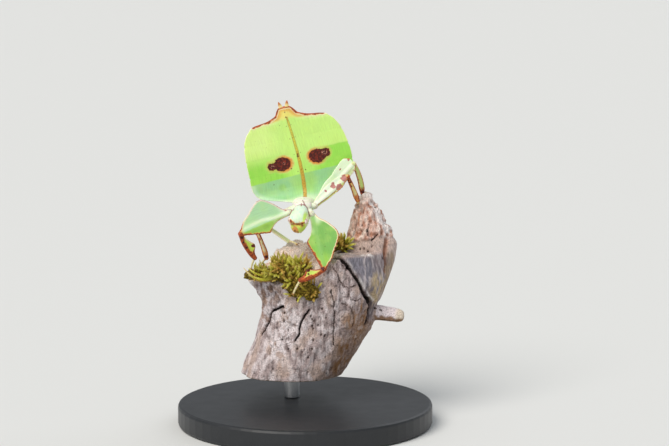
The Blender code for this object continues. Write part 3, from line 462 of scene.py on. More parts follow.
class Shells:
    def __init__(self):
        self.points, self.faces, self.parts, self.places = [], [], [], []

    def addRings(self, part, rings, places):
        self.faces += ringFaces(len(self.points), len(rings[0]), len(rings))
        for ring, place in zip(rings, places):
            self.points += ring
            self.parts += [part] * len(ring)
            self.places += [place] * len(ring)

    def addOval(self, part, centre, axes, sizes, place, turns=20, rows=14):
        # half sizes along the three axes, with its poles on the first one
        rings = []
        for k in range(1, rows):
            polar = math.pi * k / rows
            angles = [2 * math.pi * i / turns for i in range(turns)]
            rings.append([
                centre - axes[0] * (sizes[0] * math.cos(polar))
                + axes[1] * (sizes[1] * math.sin(polar) * math.cos(angle))
                + axes[2] * (sizes[2] * math.sin(polar) * math.sin(angle))
                for angle in angles
            ])
        self.addRings(part, rings, [place] * len(rings))

    def addBall(self, part, centre, radius, place):
        upright = Vector((0, 0, 1)), Vector((1, 0, 0)), Vector((0, 1, 0))
        self.addOval(part, centre, upright, (radius, radius, radius), place, turns=14)


def ovalRing(centre, across, up, halfWidth, halfHeight, sides, power=2.0):
    ring = []
    for i in range(sides):
        angle = 2.0 * math.pi * i / sides
        c, s = math.cos(angle), math.sin(angle)
        ring.append(centre + across * math.copysign(abs(c) ** (2.0 / power), c) * halfWidth
                    + up * math.copysign(abs(s) ** (2.0 / power), s) * halfHeight)
    return ring


def tubeRings(path, radii, sides, facing):
    rings = []
    for k, centre in enumerate(path):
        ahead = path[min(k + 1, len(path) - 1)] - path[max(k - 1, 0)]
        across = ahead.normalized().cross(facing).normalized()
        up = across.cross(ahead.normalized())
        rings.append(ovalRing(centre, across, up, radii[k], radii[k], sides))
    return rings


def curvePoints(corners, count):
    # smooth path through a few corners
    rows = [(i, *corner) for i, corner in enumerate(corners)]
    return [Vector(p) for p in eased(rows, np.linspace(0, len(corners) - 1, count))]


def headAxes():
    forward = Vector(head["direction"]).normalized()
    back = -(forward.x + forward.z * head["tilt"]) / forward.y
    across = Vector((1.0, back, head["tilt"])).normalized()
    return forward, across, forward.cross(across)


def headPoint(along, aside, above):
    forward, across, up = headAxes()
    return Vector(head["neck"]) + forward * along + across * aside + up * above


def abdomenFrames():
    # centre, across and upper side's direction at even steps along the curled midline
    tiltedUp = Vector((-math.sin(abdomen["tilt"]), 0.0, math.cos(abdomen["tilt"])))
    tiltedAcross = Vector((math.cos(abdomen["tilt"]), 0.0, math.sin(abdomen["tilt"])))
    centre = Vector(abdomen["start"])
    step = abdomen["length"] / abdomen["steps"]
    found = []
    for k in range(abdomen["steps"] + 1):
        place = k * step
        share = min(place / abdomen["curlLength"], 1.0)
        tilted = share * share * (3.0 - 2.0 * share)
        beyond = max(0.0, place - abdomen["curlLength"])
        raised = abdomen["stand"] * tilted
        raised += abdomen["lean"] * beyond / (abdomen["length"] - abdomen["curlLength"])
        along = Vector((0, 1, 0)) * math.cos(raised) + tiltedUp * math.sin(raised)
        across = Vector((1, 0, 0)).lerp(tiltedAcross, tilted).normalized()
        across = (across - along * across.dot(along)).normalized()
        bowed = centre + across * abdomen["bow"] * math.sin(math.pi * (place / abdomen["length"]) ** 0.8)
        found.append((bowed, across, across.cross(along).normalized(), along))
        centre += along * step
    return found


def plateRing(centre, across, normal, low, high, shaft, top, bottom, edge, cup=0.0, steps=30):
    # flat plate with a raised middle: over the top from one rim to the other, then back beneath
    above, below = [], []
    for i in range(steps + 1):
        t = i / steps
        u = -low + (low + high) * t
        bump = max(0.0, 1.0 - (u / shaft) ** 2) ** 1.5
        rounding = math.sqrt(max(0.0, 1.0 - (2.0 * abs(t - 0.5)) ** 14)) * 0.65 + 0.35
        middle = centre + across * u + normal * (cup * u * u)
        above.append(middle + normal * (edge * rounding + (top - edge) * bump))
        below.append(middle - normal * (edge * rounding + (bottom - edge) * bump))
    return above + below[::-1]


def limbFrame(start, end, facing, innerSide):
    axis = (end - start).normalized()
    normal = (facing - axis * facing.dot(axis)).normalized()
    return axis, axis.cross(normal).normalized() * innerSide, normal


def limbReach(limb, places):
    # reach of the outer and of the inner lobe, with small teeth on the outer half of a leaf-like femur
    reach = eased(limb["lobes"], places)
    if limb["leafLike"]:
        teeth = np.abs(np.sin(np.pi * places * limb["length"] / limbs["toothSpacing"])) ** 3
        reach[:, 0] -= limbs["toothHeight"] * teeth * ramp(places, 0.42, 0.55)
        reach[:, 1] -= limbs["toothHeight"] * teeth * ramp(places, 0.5, 0.6)
    return reach


# Every flat limb: its frame, its length, its lobes, and how it bows.
# A leg without lobes of its own has its pair's.
flatLimbs = {}
for legName, (joints, facing, innerSide) in legs.items():
    pair = legName.split("_")[0]
    inside, base, knee, ankle, foot = [Vector(p) for p in joints]
    for word, start, end, lobes, bow in (
        ("femur", base, knee, femurLobes, 0.0),
        ("tibia", knee, ankle, tibiaLobes, limbs["tibiaBow"][legName]),
    ):
        axis, inner, normal = limbFrame(start, end, Vector(facing), innerSide)
        width, height = limbs["shaft"].get(legName, limbs["shaft"]["femur"])
        if word == "tibia":
            width, height = limbs["shaft"]["tibia"]
        flatLimbs[legName + "_" + word] = {
            "start": start, "end": end, "axis": axis, "inner": inner, "normal": normal,
            "length": (end - start).length, "lobes": lobes.get(legName) or lobes[pair], "bow": bow,
            "leafLike": word == "femur", "shaftWidth": width, "shaftHeight": height,
        }
partNames = ["thorax", "head", "abdomen", "cercus", "coxa", "tarsus"] + list(flatLimbs)
partNumber = {name: i for i, name in enumerate(partNames)}


def addLimb(shells, name):
    limb = flatLimbs[name]
    over = 0.3 / limb["length"]  # how far it runs into its neighbours
    places = np.linspace(-over, 1 + over, 90)
    reach = limbReach(limb, np.clip(places, 0, 1))
    rings = []
    for place, (outer, inner) in zip(places, reach):
        centre = limb["start"].lerp(limb["end"], place)
        centre -= limb["inner"] * limb["bow"] * 4.0 * place * (1.0 - place)
        shaft = min(limb["shaftWidth"], outer, inner)
        rings.append(plateRing(
            centre, limb["inner"], limb["normal"], outer, inner, shaft,
            limb["shaftHeight"], limb["shaftHeight"], limbs["plateHalfThickness"], limbs["cup"],
        ))
    shells.addRings(partNumber[name], rings, places)


def footPath(legName):
    # the foot stands on the nearest place of the wood or the moss
    joints = legs[legName][0]
    knee, ankle, foot = [Vector(p) for p in joints[2:]]
    best = None
    for tree in groundTrees:
        point, normal, index, distance = tree.find_nearest(foot * mm)
        if best is None or distance < best[2]:
            best = (point / mm, normal, distance)
    point, outward, distance = best
    sole = point + outward * (limbs["footRadius"] + limbs["soleLift"])
    share, rise = limbs["bend"]
    lift = ankle.lerp(sole, share) + outward * rise
    path = [ankle * (1 - t) ** 2 + lift * 2 * t * (1 - t) + sole * t * t for t in np.linspace(0, 1, 26)]
    return path, outward


groundTrees = []
for groundName in ("perch", "perch_moss"):
    solid = nodes[groundName].data
    groundTrees.append(BVHTree.FromPolygons(
        [v.co for v in solid.vertices], [tuple(p.vertices) for p in solid.polygons]
    ))


def addLeg(shells, legName):
    joints, facing, innerSide = legs[legName]
    inside, base, knee, ankle, foot = [Vector(p) for p in joints]
    coxaPath = [inside.lerp(base, t) for t in np.linspace(0, 1, 12)]
    early, middle, late = limbs["coxaRadii"]
    radii = [r[0] for r in eased(((0, early), (0.5, middle), (0.82, late), (0.9, late * 0.92), (1, late)),
                                 np.linspace(0, 1, 12))]
    shells.addRings(partNumber["coxa"], tubeRings(coxaPath, radii, 20, Vector(facing)), np.linspace(0, 1, 12))
    shells.addBall(partNumber["coxa"], base, late * 1.02, 1.0)
    addLimb(shells, legName + "_femur")
    addLimb(shells, legName + "_tibia")
    shells.addBall(partNumber[legName + "_tibia"], knee, limbs["kneeRadius"], 0.0)
    shells.addBall(partNumber[legName + "_tibia"], ankle, limbs["ankleRadius"], 1.0)
    path, outward = footPath(legName)
    shares = np.linspace(0, 1, len(path))
    # five small joints, each wider at its far end, and a pad
    within = (shares * limbs["footJoints"]) % 1.0
    radii = limbs["footRadius"] * (0.82 + 0.34 * within ** 2) * (1.12 - 0.2 * shares)
    shells.addRings(partNumber["tarsus"], tubeRings(path, radii, 14, outward), shares)
    shells.addBall(partNumber["tarsus"], path[-1], limbs["footRadius"] * 1.05, 1.0)


def addTrunk(shells):
    places = np.linspace(thorax["stations"][0][0], thorax["stations"][-1][0], 70)
    sizes = eased(thorax["stations"], places)
    rings = [
        ovalRing(Vector((thorax["x"], y, thorax["z"])), Vector((1, 0, 0)), Vector((0, 0, 1)), w, h, 48,
                 thorax["squareness"])
        for y, (w, h) in zip(places, sizes)
    ]
    shells.addRings(partNumber["thorax"], rings, places)


def addHead(shells):
    forward, across, up = headAxes()
    places = np.linspace(head["stations"][0][0], head["stations"][-1][0], 70)
    rings = []
    for along, (w, h, drop) in zip(places, eased(head["stations"], places)):
        centre = Vector(head["neck"]) + forward * along - up * drop
        rings.append(ovalRing(centre, across, up, w, h, 56, head["squareness"]))
    shells.addRings(partNumber["head"], rings, places)


def addAbdomen(shells):
    places = np.linspace(0.0, abdomen["length"], 260)
    step = abdomen["length"] / abdomen["steps"]
    rings = []
    widths, more = eased(abdomen["widths"], places), eased(abdomen["rightMore"], places)
    depth, reach = abdomen["notch"]
    (topFront, topRear), (bottomFront, bottomRear) = abdomen["gutTop"], abdomen["gutBottom"]
    for place, (halfWidth,), (rightMore,) in zip(places, widths, more):
        centre, across, normal, along = abdomenPath[round(place / step)]
        centre = centre + along * (place - round(place / step) * step)
        for end in abdomen["segments"]:
            halfWidth -= depth * max(0.0, 1.0 - abs(place - end) / reach)
        fade = place / abdomen["length"]
        gut = min(abdomen["gutWidth"] * (1.0 - 0.45 * fade), halfWidth - 0.2)
        settled = min(place / 6.0, 1.0)
        top = topFront + (topRear - topFront) * settled * settled * (3 - 2 * settled)
        bottom = bottomFront + (bottomRear - bottomFront) * fade
        rings.append(plateRing(centre, across, normal, halfWidth + rightMore, halfWidth, gut, top, bottom,
                               abdomen["halfThickness"], abdomen["cup"], 64))
    shells.addRings(partNumber["abdomen"], rings, places)


def addCerci(shells):
    centre, across, normal, along = abdomenPath[-1]
    shares = np.linspace(0, 1, 16)
    for side in (-1, 1):
        direction = along * math.cos(cercus["spread"]) + across * side * math.sin(cercus["spread"])
        direction.normalize()
        aside = direction.cross(normal).normalized()
        root = centre + across * side * cercus["apart"] - along * cercus["sunk"]
        rings = [
            ovalRing(root + direction * cercus["length"] * share, aside, normal, w, h, 18)
            for share, (w, h) in zip(shares, eased(cercus["stations"], shares))
        ]
        shells.addRings(partNumber["cercus"], rings, shares)


abdomenPath = abdomenFrames()


# One skin round the whole insect

skinSizes = {
    "voxel": 0.17,
    "smoothing": 3,
}


def nearestParts(shells, points):
    # part and place of the shell that each point of the skin came from
    tree = BVHTree.FromPolygons(shells.points, shells.faces)
    corner = np.array([face[0] for face in shells.faces])
    picked = corner[[tree.find_nearest(Vector(p))[2] for p in points]]
    return np.array(shells.parts)[picked], np.array(shells.places)[picked]


def rimDistances(outline, flat):
    # distance of each (across, along) pair from an outline drawn densely
    tree = treeOf([(x, y, 0.0) for x, y in outline])
    return np.array([tree.find((x, y, 0.0))[2] for x, y in flat])


def makeSkinMesh():
    shells = Shells()
    addTrunk(shells)
    addHead(shells)
    addAbdomen(shells)
    addCerci(shells)
    for legName in legs:
        addLeg(shells, legName)
    wrapped = meshFrom("insectShells", shells.points, shells.faces)
    made = remeshed(wrapped, skinSizes["voxel"], skinSizes["smoothing"])
    made.name = "insectSkin"
    return shells, made


shells, skinMesh = makeSkinMesh()
print("skin wrapped,", len(skinMesh.polygons), "faces")


# Fields on the skin's points that its material reads: distances from marks in millimetres, and shares
skinDistances = ("rust", "cream", "middle", "spot", "dot", "line")
skinShares = ("ochre", "blush", "haloSide", "speck", "grainX", "grainY", "seamAndShade")
far = 9.0  # a distance beyond every mark

skinTones = {
    "pale": "#edf5e2", "upperZone": "#cbf283", "upperLeft": "#e2fd9a", "midZone": "#9bdd54",
    "baseShade": "#98ce93", "baseInner": "#9fd277", "baseEdge": "#cdebc8", "baseOlive": "#8fc46a",
    "root": "#e2f2d6", "tip": "#f6e77e", "rearEdge": "#e6f6a6", "below": "#b4d59a", "flush": "#e39438",
    "dome": "#dcefd9", "mint": "#c9ead6", "cheek": "#bfe26a", "cheekEdge": "#f0f6c4", "face": "#c6d64c",
    "faceEdge": "#efeed2", "mouth": "#e2854a", "streak": "#e08a3a", "thorax": "#fdefe9", "collar": "#ece9dc",
    "foot": "#f0e2b4", "footEnd": "#c98a4c", "cercus": "#f6e2a0", "cercusEnd": "#bf5a26", "coxa": "#e9f2dd",
}


def discDistances(discs, along, across, length=1.0):
    # distance from the nearest of some discs: place along, across, radius
    best = np.full(len(along), far)
    for at, aside, radius in discs:
        best = np.minimum(best, np.hypot((along - at) * length, across - aside) - radius)
    return best


def toneRow(text):
    return np.array(hexToLinear(text)[:3])


def painter(fields, palette):
    # lays colours of the palette, or hex ones, over the tones so far
    def paint(colour, share):
        share = np.clip(np.broadcast_to(share, len(fields["tone"])), 0, 1)[:, None]
        fields["tone"] = fields["tone"] * (1 - share) + toneRow(palette.get(colour, colour)) * share
    return paint


def blankFields(count):
    fields = {name: np.full(count, far) for name in skinDistances}
    for name in skinShares + ("relief",):
        fields[name] = np.zeros(count)
    fields["tone"] = np.tile(toneRow(skinTones["pale"]), (count, 1))
    return fields


abdomenMarks = {
    # ovals that make the two eyespots: place along, across, half length across, half length along
    "ovals": (
        (15.15, -5.15, 2.45, 1.95), (14.95, -8.4, 0.95, 1.05), (15.0, -7.4, 0.75, 0.7),
        (15.5, 5.15, 2.4, 1.95), (16.05, 7.7, 1.2, 1.2), (16.2, 6.6, 1.2, 0.95),
    ),
    # paler flecks, and dark dots: place along, across, radius
    "specks": ((15.0, -8.0, 0.6), (15.3, -4.7, 0.35), (16.1, 7.3, 0.75)),
    "dots": (
        (21.8, -1.15, 0.1), (22.1, 0.46, 0.1), (25.6, -1.0, 0.1), (25.8, 0.41, 0.09), (26.2, -2.76, 0.12),
        (17.2, -1.2, 0.1), (17.4, 0.72, 0.1), (12.2, -1.23, 0.11), (12.3, 0.98, 0.16), (9.9, -8.66, 0.14),
        (10.5, 8.1, 0.07), (23.2, -10.8, 0.07), (20.6, 7.1, 0.07), (20.8, -8.3, 0.06), (29.7, -0.2, 0.16),
        (5.7, -0.5, 0.12), (3.4, -0.5, 0.12), (13.25, -5.3, 0.2), (13.4, -2.9, 0.2), (28.2, -0.34, 0.2),
        (16.5, -0.3, 0.3), (17.1, -0.2, 0.24), (22.0, -0.3, 0.12), (12.6, -0.2, 0.12), (24.3, -4.4, 0.05),
        (19.0, 4.1, 0.05), (8.2, 4.4, 0.06), (7.4, -4.9, 0.06), (23.9, 6.2, 0.05), (12.1, -10.4, 0.06),
    ),
    "midlineWidths": ((0, 0.44), (8, 0.5), (14, 0.42), (20, 0.34), (26, 0.28), (28.4, 0.2)),
}


def abdomenFields(points, places):
    step = abdomen["length"] / abdomen["steps"]
    k = np.clip(np.round(places / step).astype(int), 0, abdomen["steps"])
    centres, acrosses, normals, alongs = [np.array([f[i] for f in abdomenPath]) for i in range(4)]
    for _ in range(3):  # slides each point's foot along the midline until it is square to it
        away = points - centres[k]
        ahead = (away * alongs[k]).sum(1)
        k = np.clip(k + np.round(ahead / step * 0.8).astype(int), 0, abdomen["steps"])
    away = points - centres[k]
    place = k * step + (away * alongs[k]).sum(1)
    x = (away * acrosses[k]).sum(1)
    side = (away * normals[k]).sum(1) - abdomen["cup"] * x * x
    dense = np.linspace(0, abdomen["length"], 700)
    half = eased(abdomen["widths"], dense)[:, 0]
    more = eased(abdomen["rightMore"], dense)[:, 0]
    outline = np.vstack([np.c_[half, dense], np.c_[-half - more, dense]])
    outline = np.vstack([outline, np.c_[np.linspace(-1.5, 1.5, 30), np.full(30, abdomen["length"])]])
    rim = rimDistances(outline, np.c_[x, place])
    upper = ramp(side, -0.12, 0.12)
    wobble = lumps(points, 1.7, 3)
    wander = 0.5 + 0.5 * lumps(points, 1.5, 5) + 0.25 * lumps(points, 0.6, 15)

    made = blankFields(len(points))
    paint = painter(made, skinTones)
    paint("upperZone", 1.0)
    paint("upperLeft", 0.7 * ramp(-x, 2.0, 9.0) * ramp(place, 17.0, 21.0))
    crisp = ramp(x, 6.0, 8.0)  # the bright zone ends sharply on one side and softly on the other
    band = fall(place + 0.25 * wobble, 14.6 + 3.0 * crisp, 19.0 - 0.9 * crisp)
    paint("midZone", band * (0.4 + 0.6 * ramp(np.abs(x), 2.0, 6.0)))
    # painted shade: below a crisp line the abdomen's base is a greyer blue-green
    base = fall(place + 0.08 * wobble - 0.035 * x, 11.2, 11.5)
    paint("baseShade", base)
    paint("baseInner", 0.85 * base * fall(np.abs(x), 1.6, 4.8) * ramp(place, 3.5, 6.5))
    paint("baseEdge", 0.65 * base * fall(rim, 0.5, 2.0))
    paint("baseOlive", 0.6 * fall(np.hypot(x + 6.4, place - 8.6), 0.6, 1.5))
    paint("root", fall(place + 0.22 * np.abs(x), 2.8, 6.4))
    paint("rearEdge", 0.75 * ramp(place, 25.5, 27.0) * fall(rim, 0.8, 2.4))
    paint("tip", ramp(place + 0.5 * wobble, 27.1, 28.7))
    paint("flush", 0.6 * ramp(place, 27.0, 27.9) * fall(rim + 0.4 * wobble, 0.9, 1.9))
    paint("below", 0.6 * (1 - upper) * ramp(rim, 0.3, 0.6))

    level = ramp(place, 26.35, 26.9) * fall(np.abs(x), 9.9, 10.8)
    made["rust"] = np.where(level > 0.02, rim - level * np.clip(0.12 + 0.75 * wander, 0.1, 1.0), far)
    creamReach = np.where(level > 0.2, 0.5 + 0.5 * wander, 0.2)
    made["cream"] = np.where(place > 6.5, rim - creamReach, far)
    wide = eased(abdomenMarks["midlineWidths"], place)[:, 0]
    shown = (upper > 0.5) & (place < 28.4)
    made["middle"] = np.where(shown, np.abs(x + 0.15) - wide * (1 + 0.18 * wobble), far)
    made["ochre"] = 1.0 - ramp(place, 9.0, 25.0)
    near = 0.0
    for at, aside, wideness, tallness in abdomenMarks["ovals"]:
        scaled = np.sqrt(((x - aside) / wideness) ** 2 + ((place - at) / tallness) ** 2)
        near = near + np.exp((1.0 - scaled) * min(wideness, tallness) / 0.22)
    spot = -0.22 * np.log(near) + 0.22 * lumps(points, 0.8, 31) + 0.14 * lumps(points, 0.35, 32)
    made["spot"] = np.where(upper > 0.5, spot, far)
    speck = np.zeros(len(x))
    for at, aside, radius in abdomenMarks["specks"]:
        speck = np.maximum(speck, fall(np.hypot(x - aside, place - at), radius * 0.5, radius * 1.3))
    made["speck"] = speck
    made["haloSide"] = 0.35 + 0.65 * ramp(7.2 - np.abs(x) + 0.3 * (15.3 - place), 0.0, 3.5)
    made["dot"] = np.where(upper > 0.5, discDistances(abdomenMarks["dots"], place, x), far)
    made["grainX"], made["grainY"] = x, place

    relief = 0.04 * bell(x, -0.15, 0.26) * upper * ramp(place, 6, 9)
    for end in abdomen["segments"]:
        relief -= 0.03 * bell(place - 0.02 * np.abs(x), end, 0.16) * ramp(np.abs(x), 0.5, 1.5)
    relief += 0.06 * lumps(np.c_[x, place, np.zeros(len(x))], 3.2, 8) * ramp(rim, 0.3, 2.0)
    # faint veins that run out and back from the midline
    veins = np.abs(np.sin(2.1 * (place - 0.42 * np.abs(x) - 0.012 * x * x)))
    relief += 0.022 * fall(veins, 0.0, 0.35) * upper * ramp(np.abs(x), 0.8, 2.2) * ramp(rim, 0.4, 1.4)
    relief += 0.03 * fall(rim, 0.12, 0.4) * ramp(place, 7, 9)
    made["relief"] = relief
    return made


# How each flat limb is coloured. Places are shares of its length, "inner" and widths are millimetres.
#   outer, inner, rib, root: colours of the two lobes, of the raised middle and of the first stretch
#   ribPath: where the raised middle runs, share and inner; edge: colour and width of a pale outer rim
#   rustOuter, rustInner: share and width of each lobe's rust rim; creamOuter, creamInner: pale rim's width
#   blush: pink patches, share, inner, radius, strength; patches: share, inner, radius, colour
#   bands: from share, to share, colour, strength; dots, darks: share, inner, radius
#   line: a dark line inside the outer rim, how far in, half width, from share, to share; strip: beyond it
limbMarks = {
    "front_right_femur": {
        "outer": "#b2deaa", "inner": "#a4d35e", "rib": "#e4f2d2", "ribWidth": 0.55, "root": "#e8f4de",
        "ribPath": ((0, 0), (0.3, -0.3), (0.55, -1.1), (0.95, -1.0)), "edge": ("#ecd6c8", 0.5),
        "line": (0.07, 0.09, 0, 0.5), "strip": "#b98878",
        "rustOuter": ((0, 0), (0.84, 0), (0.93, 0.25), (1, 0.4)),
        "rustInner": ((0, 0.02), (0.2, 0.07), (0.36, 0.1), (0.45, 0.34), (0.55, 0.4), (0.9, 0.42), (1, 0.5)),
        "creamOuter": -0.3, "creamInner": 0.28,
        "blush": ((0.02, -1.1, 0.7, 0.8), (0.9, -1.9, 0.6, 0.3)),
        # the first patch, darker green on the inner side of the raised middle, is painted shade of a crease
        "patches": ((0.5, 1.0, 0.9, "#93c455"), (0.3, 0.9, 0.8, "#b9dd84"), (0.75, 0.9, 0.9, "#9fcf5c")),
        "bands": ((0.95, 1.1, "#d98a3e", 0.8),),
    },
    "front_left_femur": {
        "outer": "#7cb657", "inner": "#84c050", "rib": "#8cc268", "ribWidth": 0.7, "root": "#dcefca",
        "rustOuter": ((0, 0.05), (0.3, 0.1), (0.45, 0.26), (0.6, 0.24), (0.9, 0.28), (1, 0.45)),
        "rustInner": ((0, 0.0), (0.38, 0.0), (0.46, 0.35), (0.7, 0.5), (1, 0.6)),
        "creamOuter": 0.5, "creamInner": 0.22,
        "patches": ((0.12, -0.6, 1.5, "#cfe9b4"), (0.28, 0.6, 1.2, "#bfe29a"), (0.84, -0.3, 2.0, "#9fd052"),
                    (0.5, 1.6, 1.0, "#9cc860")),
        "dots": ((0.52, 0.7, 0.09), (0.62, -1.6, 0.12), (0.4, -2.6, 0.08), (0.74, -0.4, 0.07)),
    },
    "mid_right_femur": {
        "outer": "#dfeec6", "inner": "#c9e2a0", "rib": "#eef5df", "ribWidth": 0.5, "root": "#eef6e6",
        "rustOuter": ((0, 0.2), (1, 0.3)), "rustInner": ((0, 0.1), (1, 0.3)), "creamOuter": 0.5,
        "creamInner": 0.4, "blush": ((0.2, -1.0, 0.8, 0.6),),
    },
    "mid_left_femur": {
        "outer": "#dff0cd", "inner": "#e6f3da", "rib": "#f6faf0", "ribWidth": 0.34, "root": "#eef7e8",
        "rustOuter": ((0, -0.2), (0.52, -0.2), (0.6, 0.16), (0.86, 0.2), (1, 0.45)),
        "rustInner": ((0, -0.2), (0.9, -0.2), (1, 0.25)), "creamOuter": 0.15, "creamInner": 0.12,
        "blush": ((0.95, 0.8, 0.9, 1.1), (0.69, -0.7, 1.15, 1.1), (0.92, 0.1, 1.1, 1.1),
                  (0.65, 1.4, 0.5, 1.1), (0.41, 1.1, 0.34, 1.0), (0.61, 0.6, 0.85, 1.1),
                  (0.77, -1.45, 0.55, 1.0), (0.86, -0.95, 0.5, 0.8), (0.86, 0.75, 0.3, 0.8)),
        "patches": ((0.79, -0.4, 0.8, "#cddb70"),),
        "line": (0.46, 0.13, 0.02, 0.6), "strip": "#cdd974",
        "dots": ((0.655, 1.3, 0.12), (0.955, 0.9, 0.12), (0.67, -0.9, 0.1)),
    },
    "hind_right_femur": {
        "outer": "#dfeec6", "inner": "#c3e099", "rib": "#eef5df", "ribWidth": 0.5, "root": "#eef6e6",
        "rustOuter": ((0, 0.05), (1, 0.3)), "rustInner": ((0, 0.05), (1, 0.3)), "creamOuter": 0.4,
        "creamInner": 0.3,
    },
    "hind_left_femur": {
        "outer": "#dcedc6", "inner": "#e0f1d3", "rib": "#f3f8ea", "ribWidth": 0.32, "root": "#eaf5e2",
        "rustOuter": ((0, -0.2), (0.8, -0.2), (0.95, 0.15), (1, 0.35)),
        "rustInner": ((0, -0.2), (0.9, -0.2), (0.96, 0.14), (1, 0.25)), "creamOuter": 0.2, "creamInner": 0.1,
        "blush": ((0.75, 1.7, 0.26, 1.0), (0.99, 1.9, 0.5, 0.9), (0.9, -1.2, 0.4, 0.6)),
        "patches": ((0.85, -0.9, 1.0, "#cfdfa4"), (0.6, 1.4, 1.2, "#d6efcf")),
        "dots": ((0.752, 1.7, 0.12), (0.97, 0.4, 0.12)),
    },
    "front_right_tibia": {
        "outer": "#a13a1e", "inner": "#d3e85c", "rib": "#a13a1e", "ribWidth": 0.3, "root": "#d98a3e",
        "rustOuter": ((0, 1.2), (0.3, 1.15), (0.6, 1.1), (0.8, 1.3), (1, 1.3)),
        "rustInner": ((0, 0.3), (0.2, 0.0), (0.42, 0.05), (0.6, 0.15), (0.72, 0.4), (1, 0.8)),
        "creamOuter": -0.1, "creamInner": 0.3,
        "darks": ((0.57, 1.7, 0.55), (0.1, -0.1, 0.42), (0.28, -0.2, 0.3), (0.5, -0.2, 0.34)),
    },
    "front_left_tibia": {
        "outer": "#b4481f", "inner": "#c6df62", "rib": "#b4481f", "ribWidth": 0.3, "root": "#c4552a",
        "rustOuter": ((0, 1.0), (0.3, 1.0), (0.6, 1.05), (0.8, 1.2), (1, 1.3)),
        "rustInner": ((0, 0.5), (0.2, 0.34), (0.4, 0.22), (0.6, 0.3), (0.72, 0.55), (1, 0.8)),
        "creamOuter": -0.1, "creamInner": 0.4,
        "darks": ((0.57, 1.9, 0.5), (0.05, 0.3, 0.5), (0.62, 0.9, 0.3)),
    },
    "mid_right_tibia": {
        "outer": "#cf9a86", "inner": "#e9d8ae", "rib": "#f0e6c4", "ribWidth": 0.3, "root": "#a8504a",
        "rustOuter": ((0, 0.42), (0.5, 0.3), (1, 0.35)), "rustInner": ((0, 0.42), (0.5, 0.24), (1, 0.4)),
        "creamOuter": -0.1, "creamInner": -0.1,
        "blush": ((0.1, 0.0, 0.9, 1.0), (0.34, 0.2, 0.4, 1.0), (0.5, -0.2, 0.3, 0.8)),
        "bands": ((0.78, 1.1, "#c05a2c", 0.85),), "darks": ((0.95, 0.0, 0.5),),
    },
    "mid_left_tibia": {
        "outer": "#ddb87c", "inner": "#e6d490", "rib": "#eee0a4", "ribWidth": 0.3, "root": "#8e4a2c",
        "rustOuter": ((0, 0.6), (0.35, 0.45), (0.6, 0.2), (1, 0.5)),
        "rustInner": ((0, 0.6), (0.35, 0.3), (0.6, 0.18), (1, 0.5)), "creamOuter": -0.1, "creamInner": -0.1,
        "blush": ((0.06, 0.0, 0.7, 1.0),), "bands": ((0.74, 1.1, "#cb5a2c", 0.9),),
        "darks": ((0.2, 0.1, 0.34), (0.36, -0.2, 0.26), (0.12, -0.3, 0.25)),
    },
    "hind_right_tibia": {
        "outer": "#c9d294", "inner": "#d3dba0", "rib": "#e3e6b6", "ribWidth": 0.35, "root": "#c9c97e",
        "rustOuter": ((0, -0.2), (1, -0.2)), "rustInner": ((0, -0.2), (1, -0.2)), "creamOuter": 0.2,
        "creamInner": 0.2,
    },
    "hind_left_tibia": {
        "outer": "#c8d680", "inner": "#b9d072", "rib": "#c6da84", "ribWidth": 0.3, "root": "#e6e8c0",
        "rustOuter": ((0, 0.3), (0.4, 0.34), (0.7, 0.3), (1, 0.9)),
        "rustInner": ((0, 0.05), (0.4, 0.16), (0.75, 0.2), (1, 0.9)), "creamOuter": 0.45, "creamInner": 0.2,
        "bands": ((0.8, 1.1, "#8e2f22", 0.85),), "darks": ((0.93, 0.0, 0.6),),
    },
}


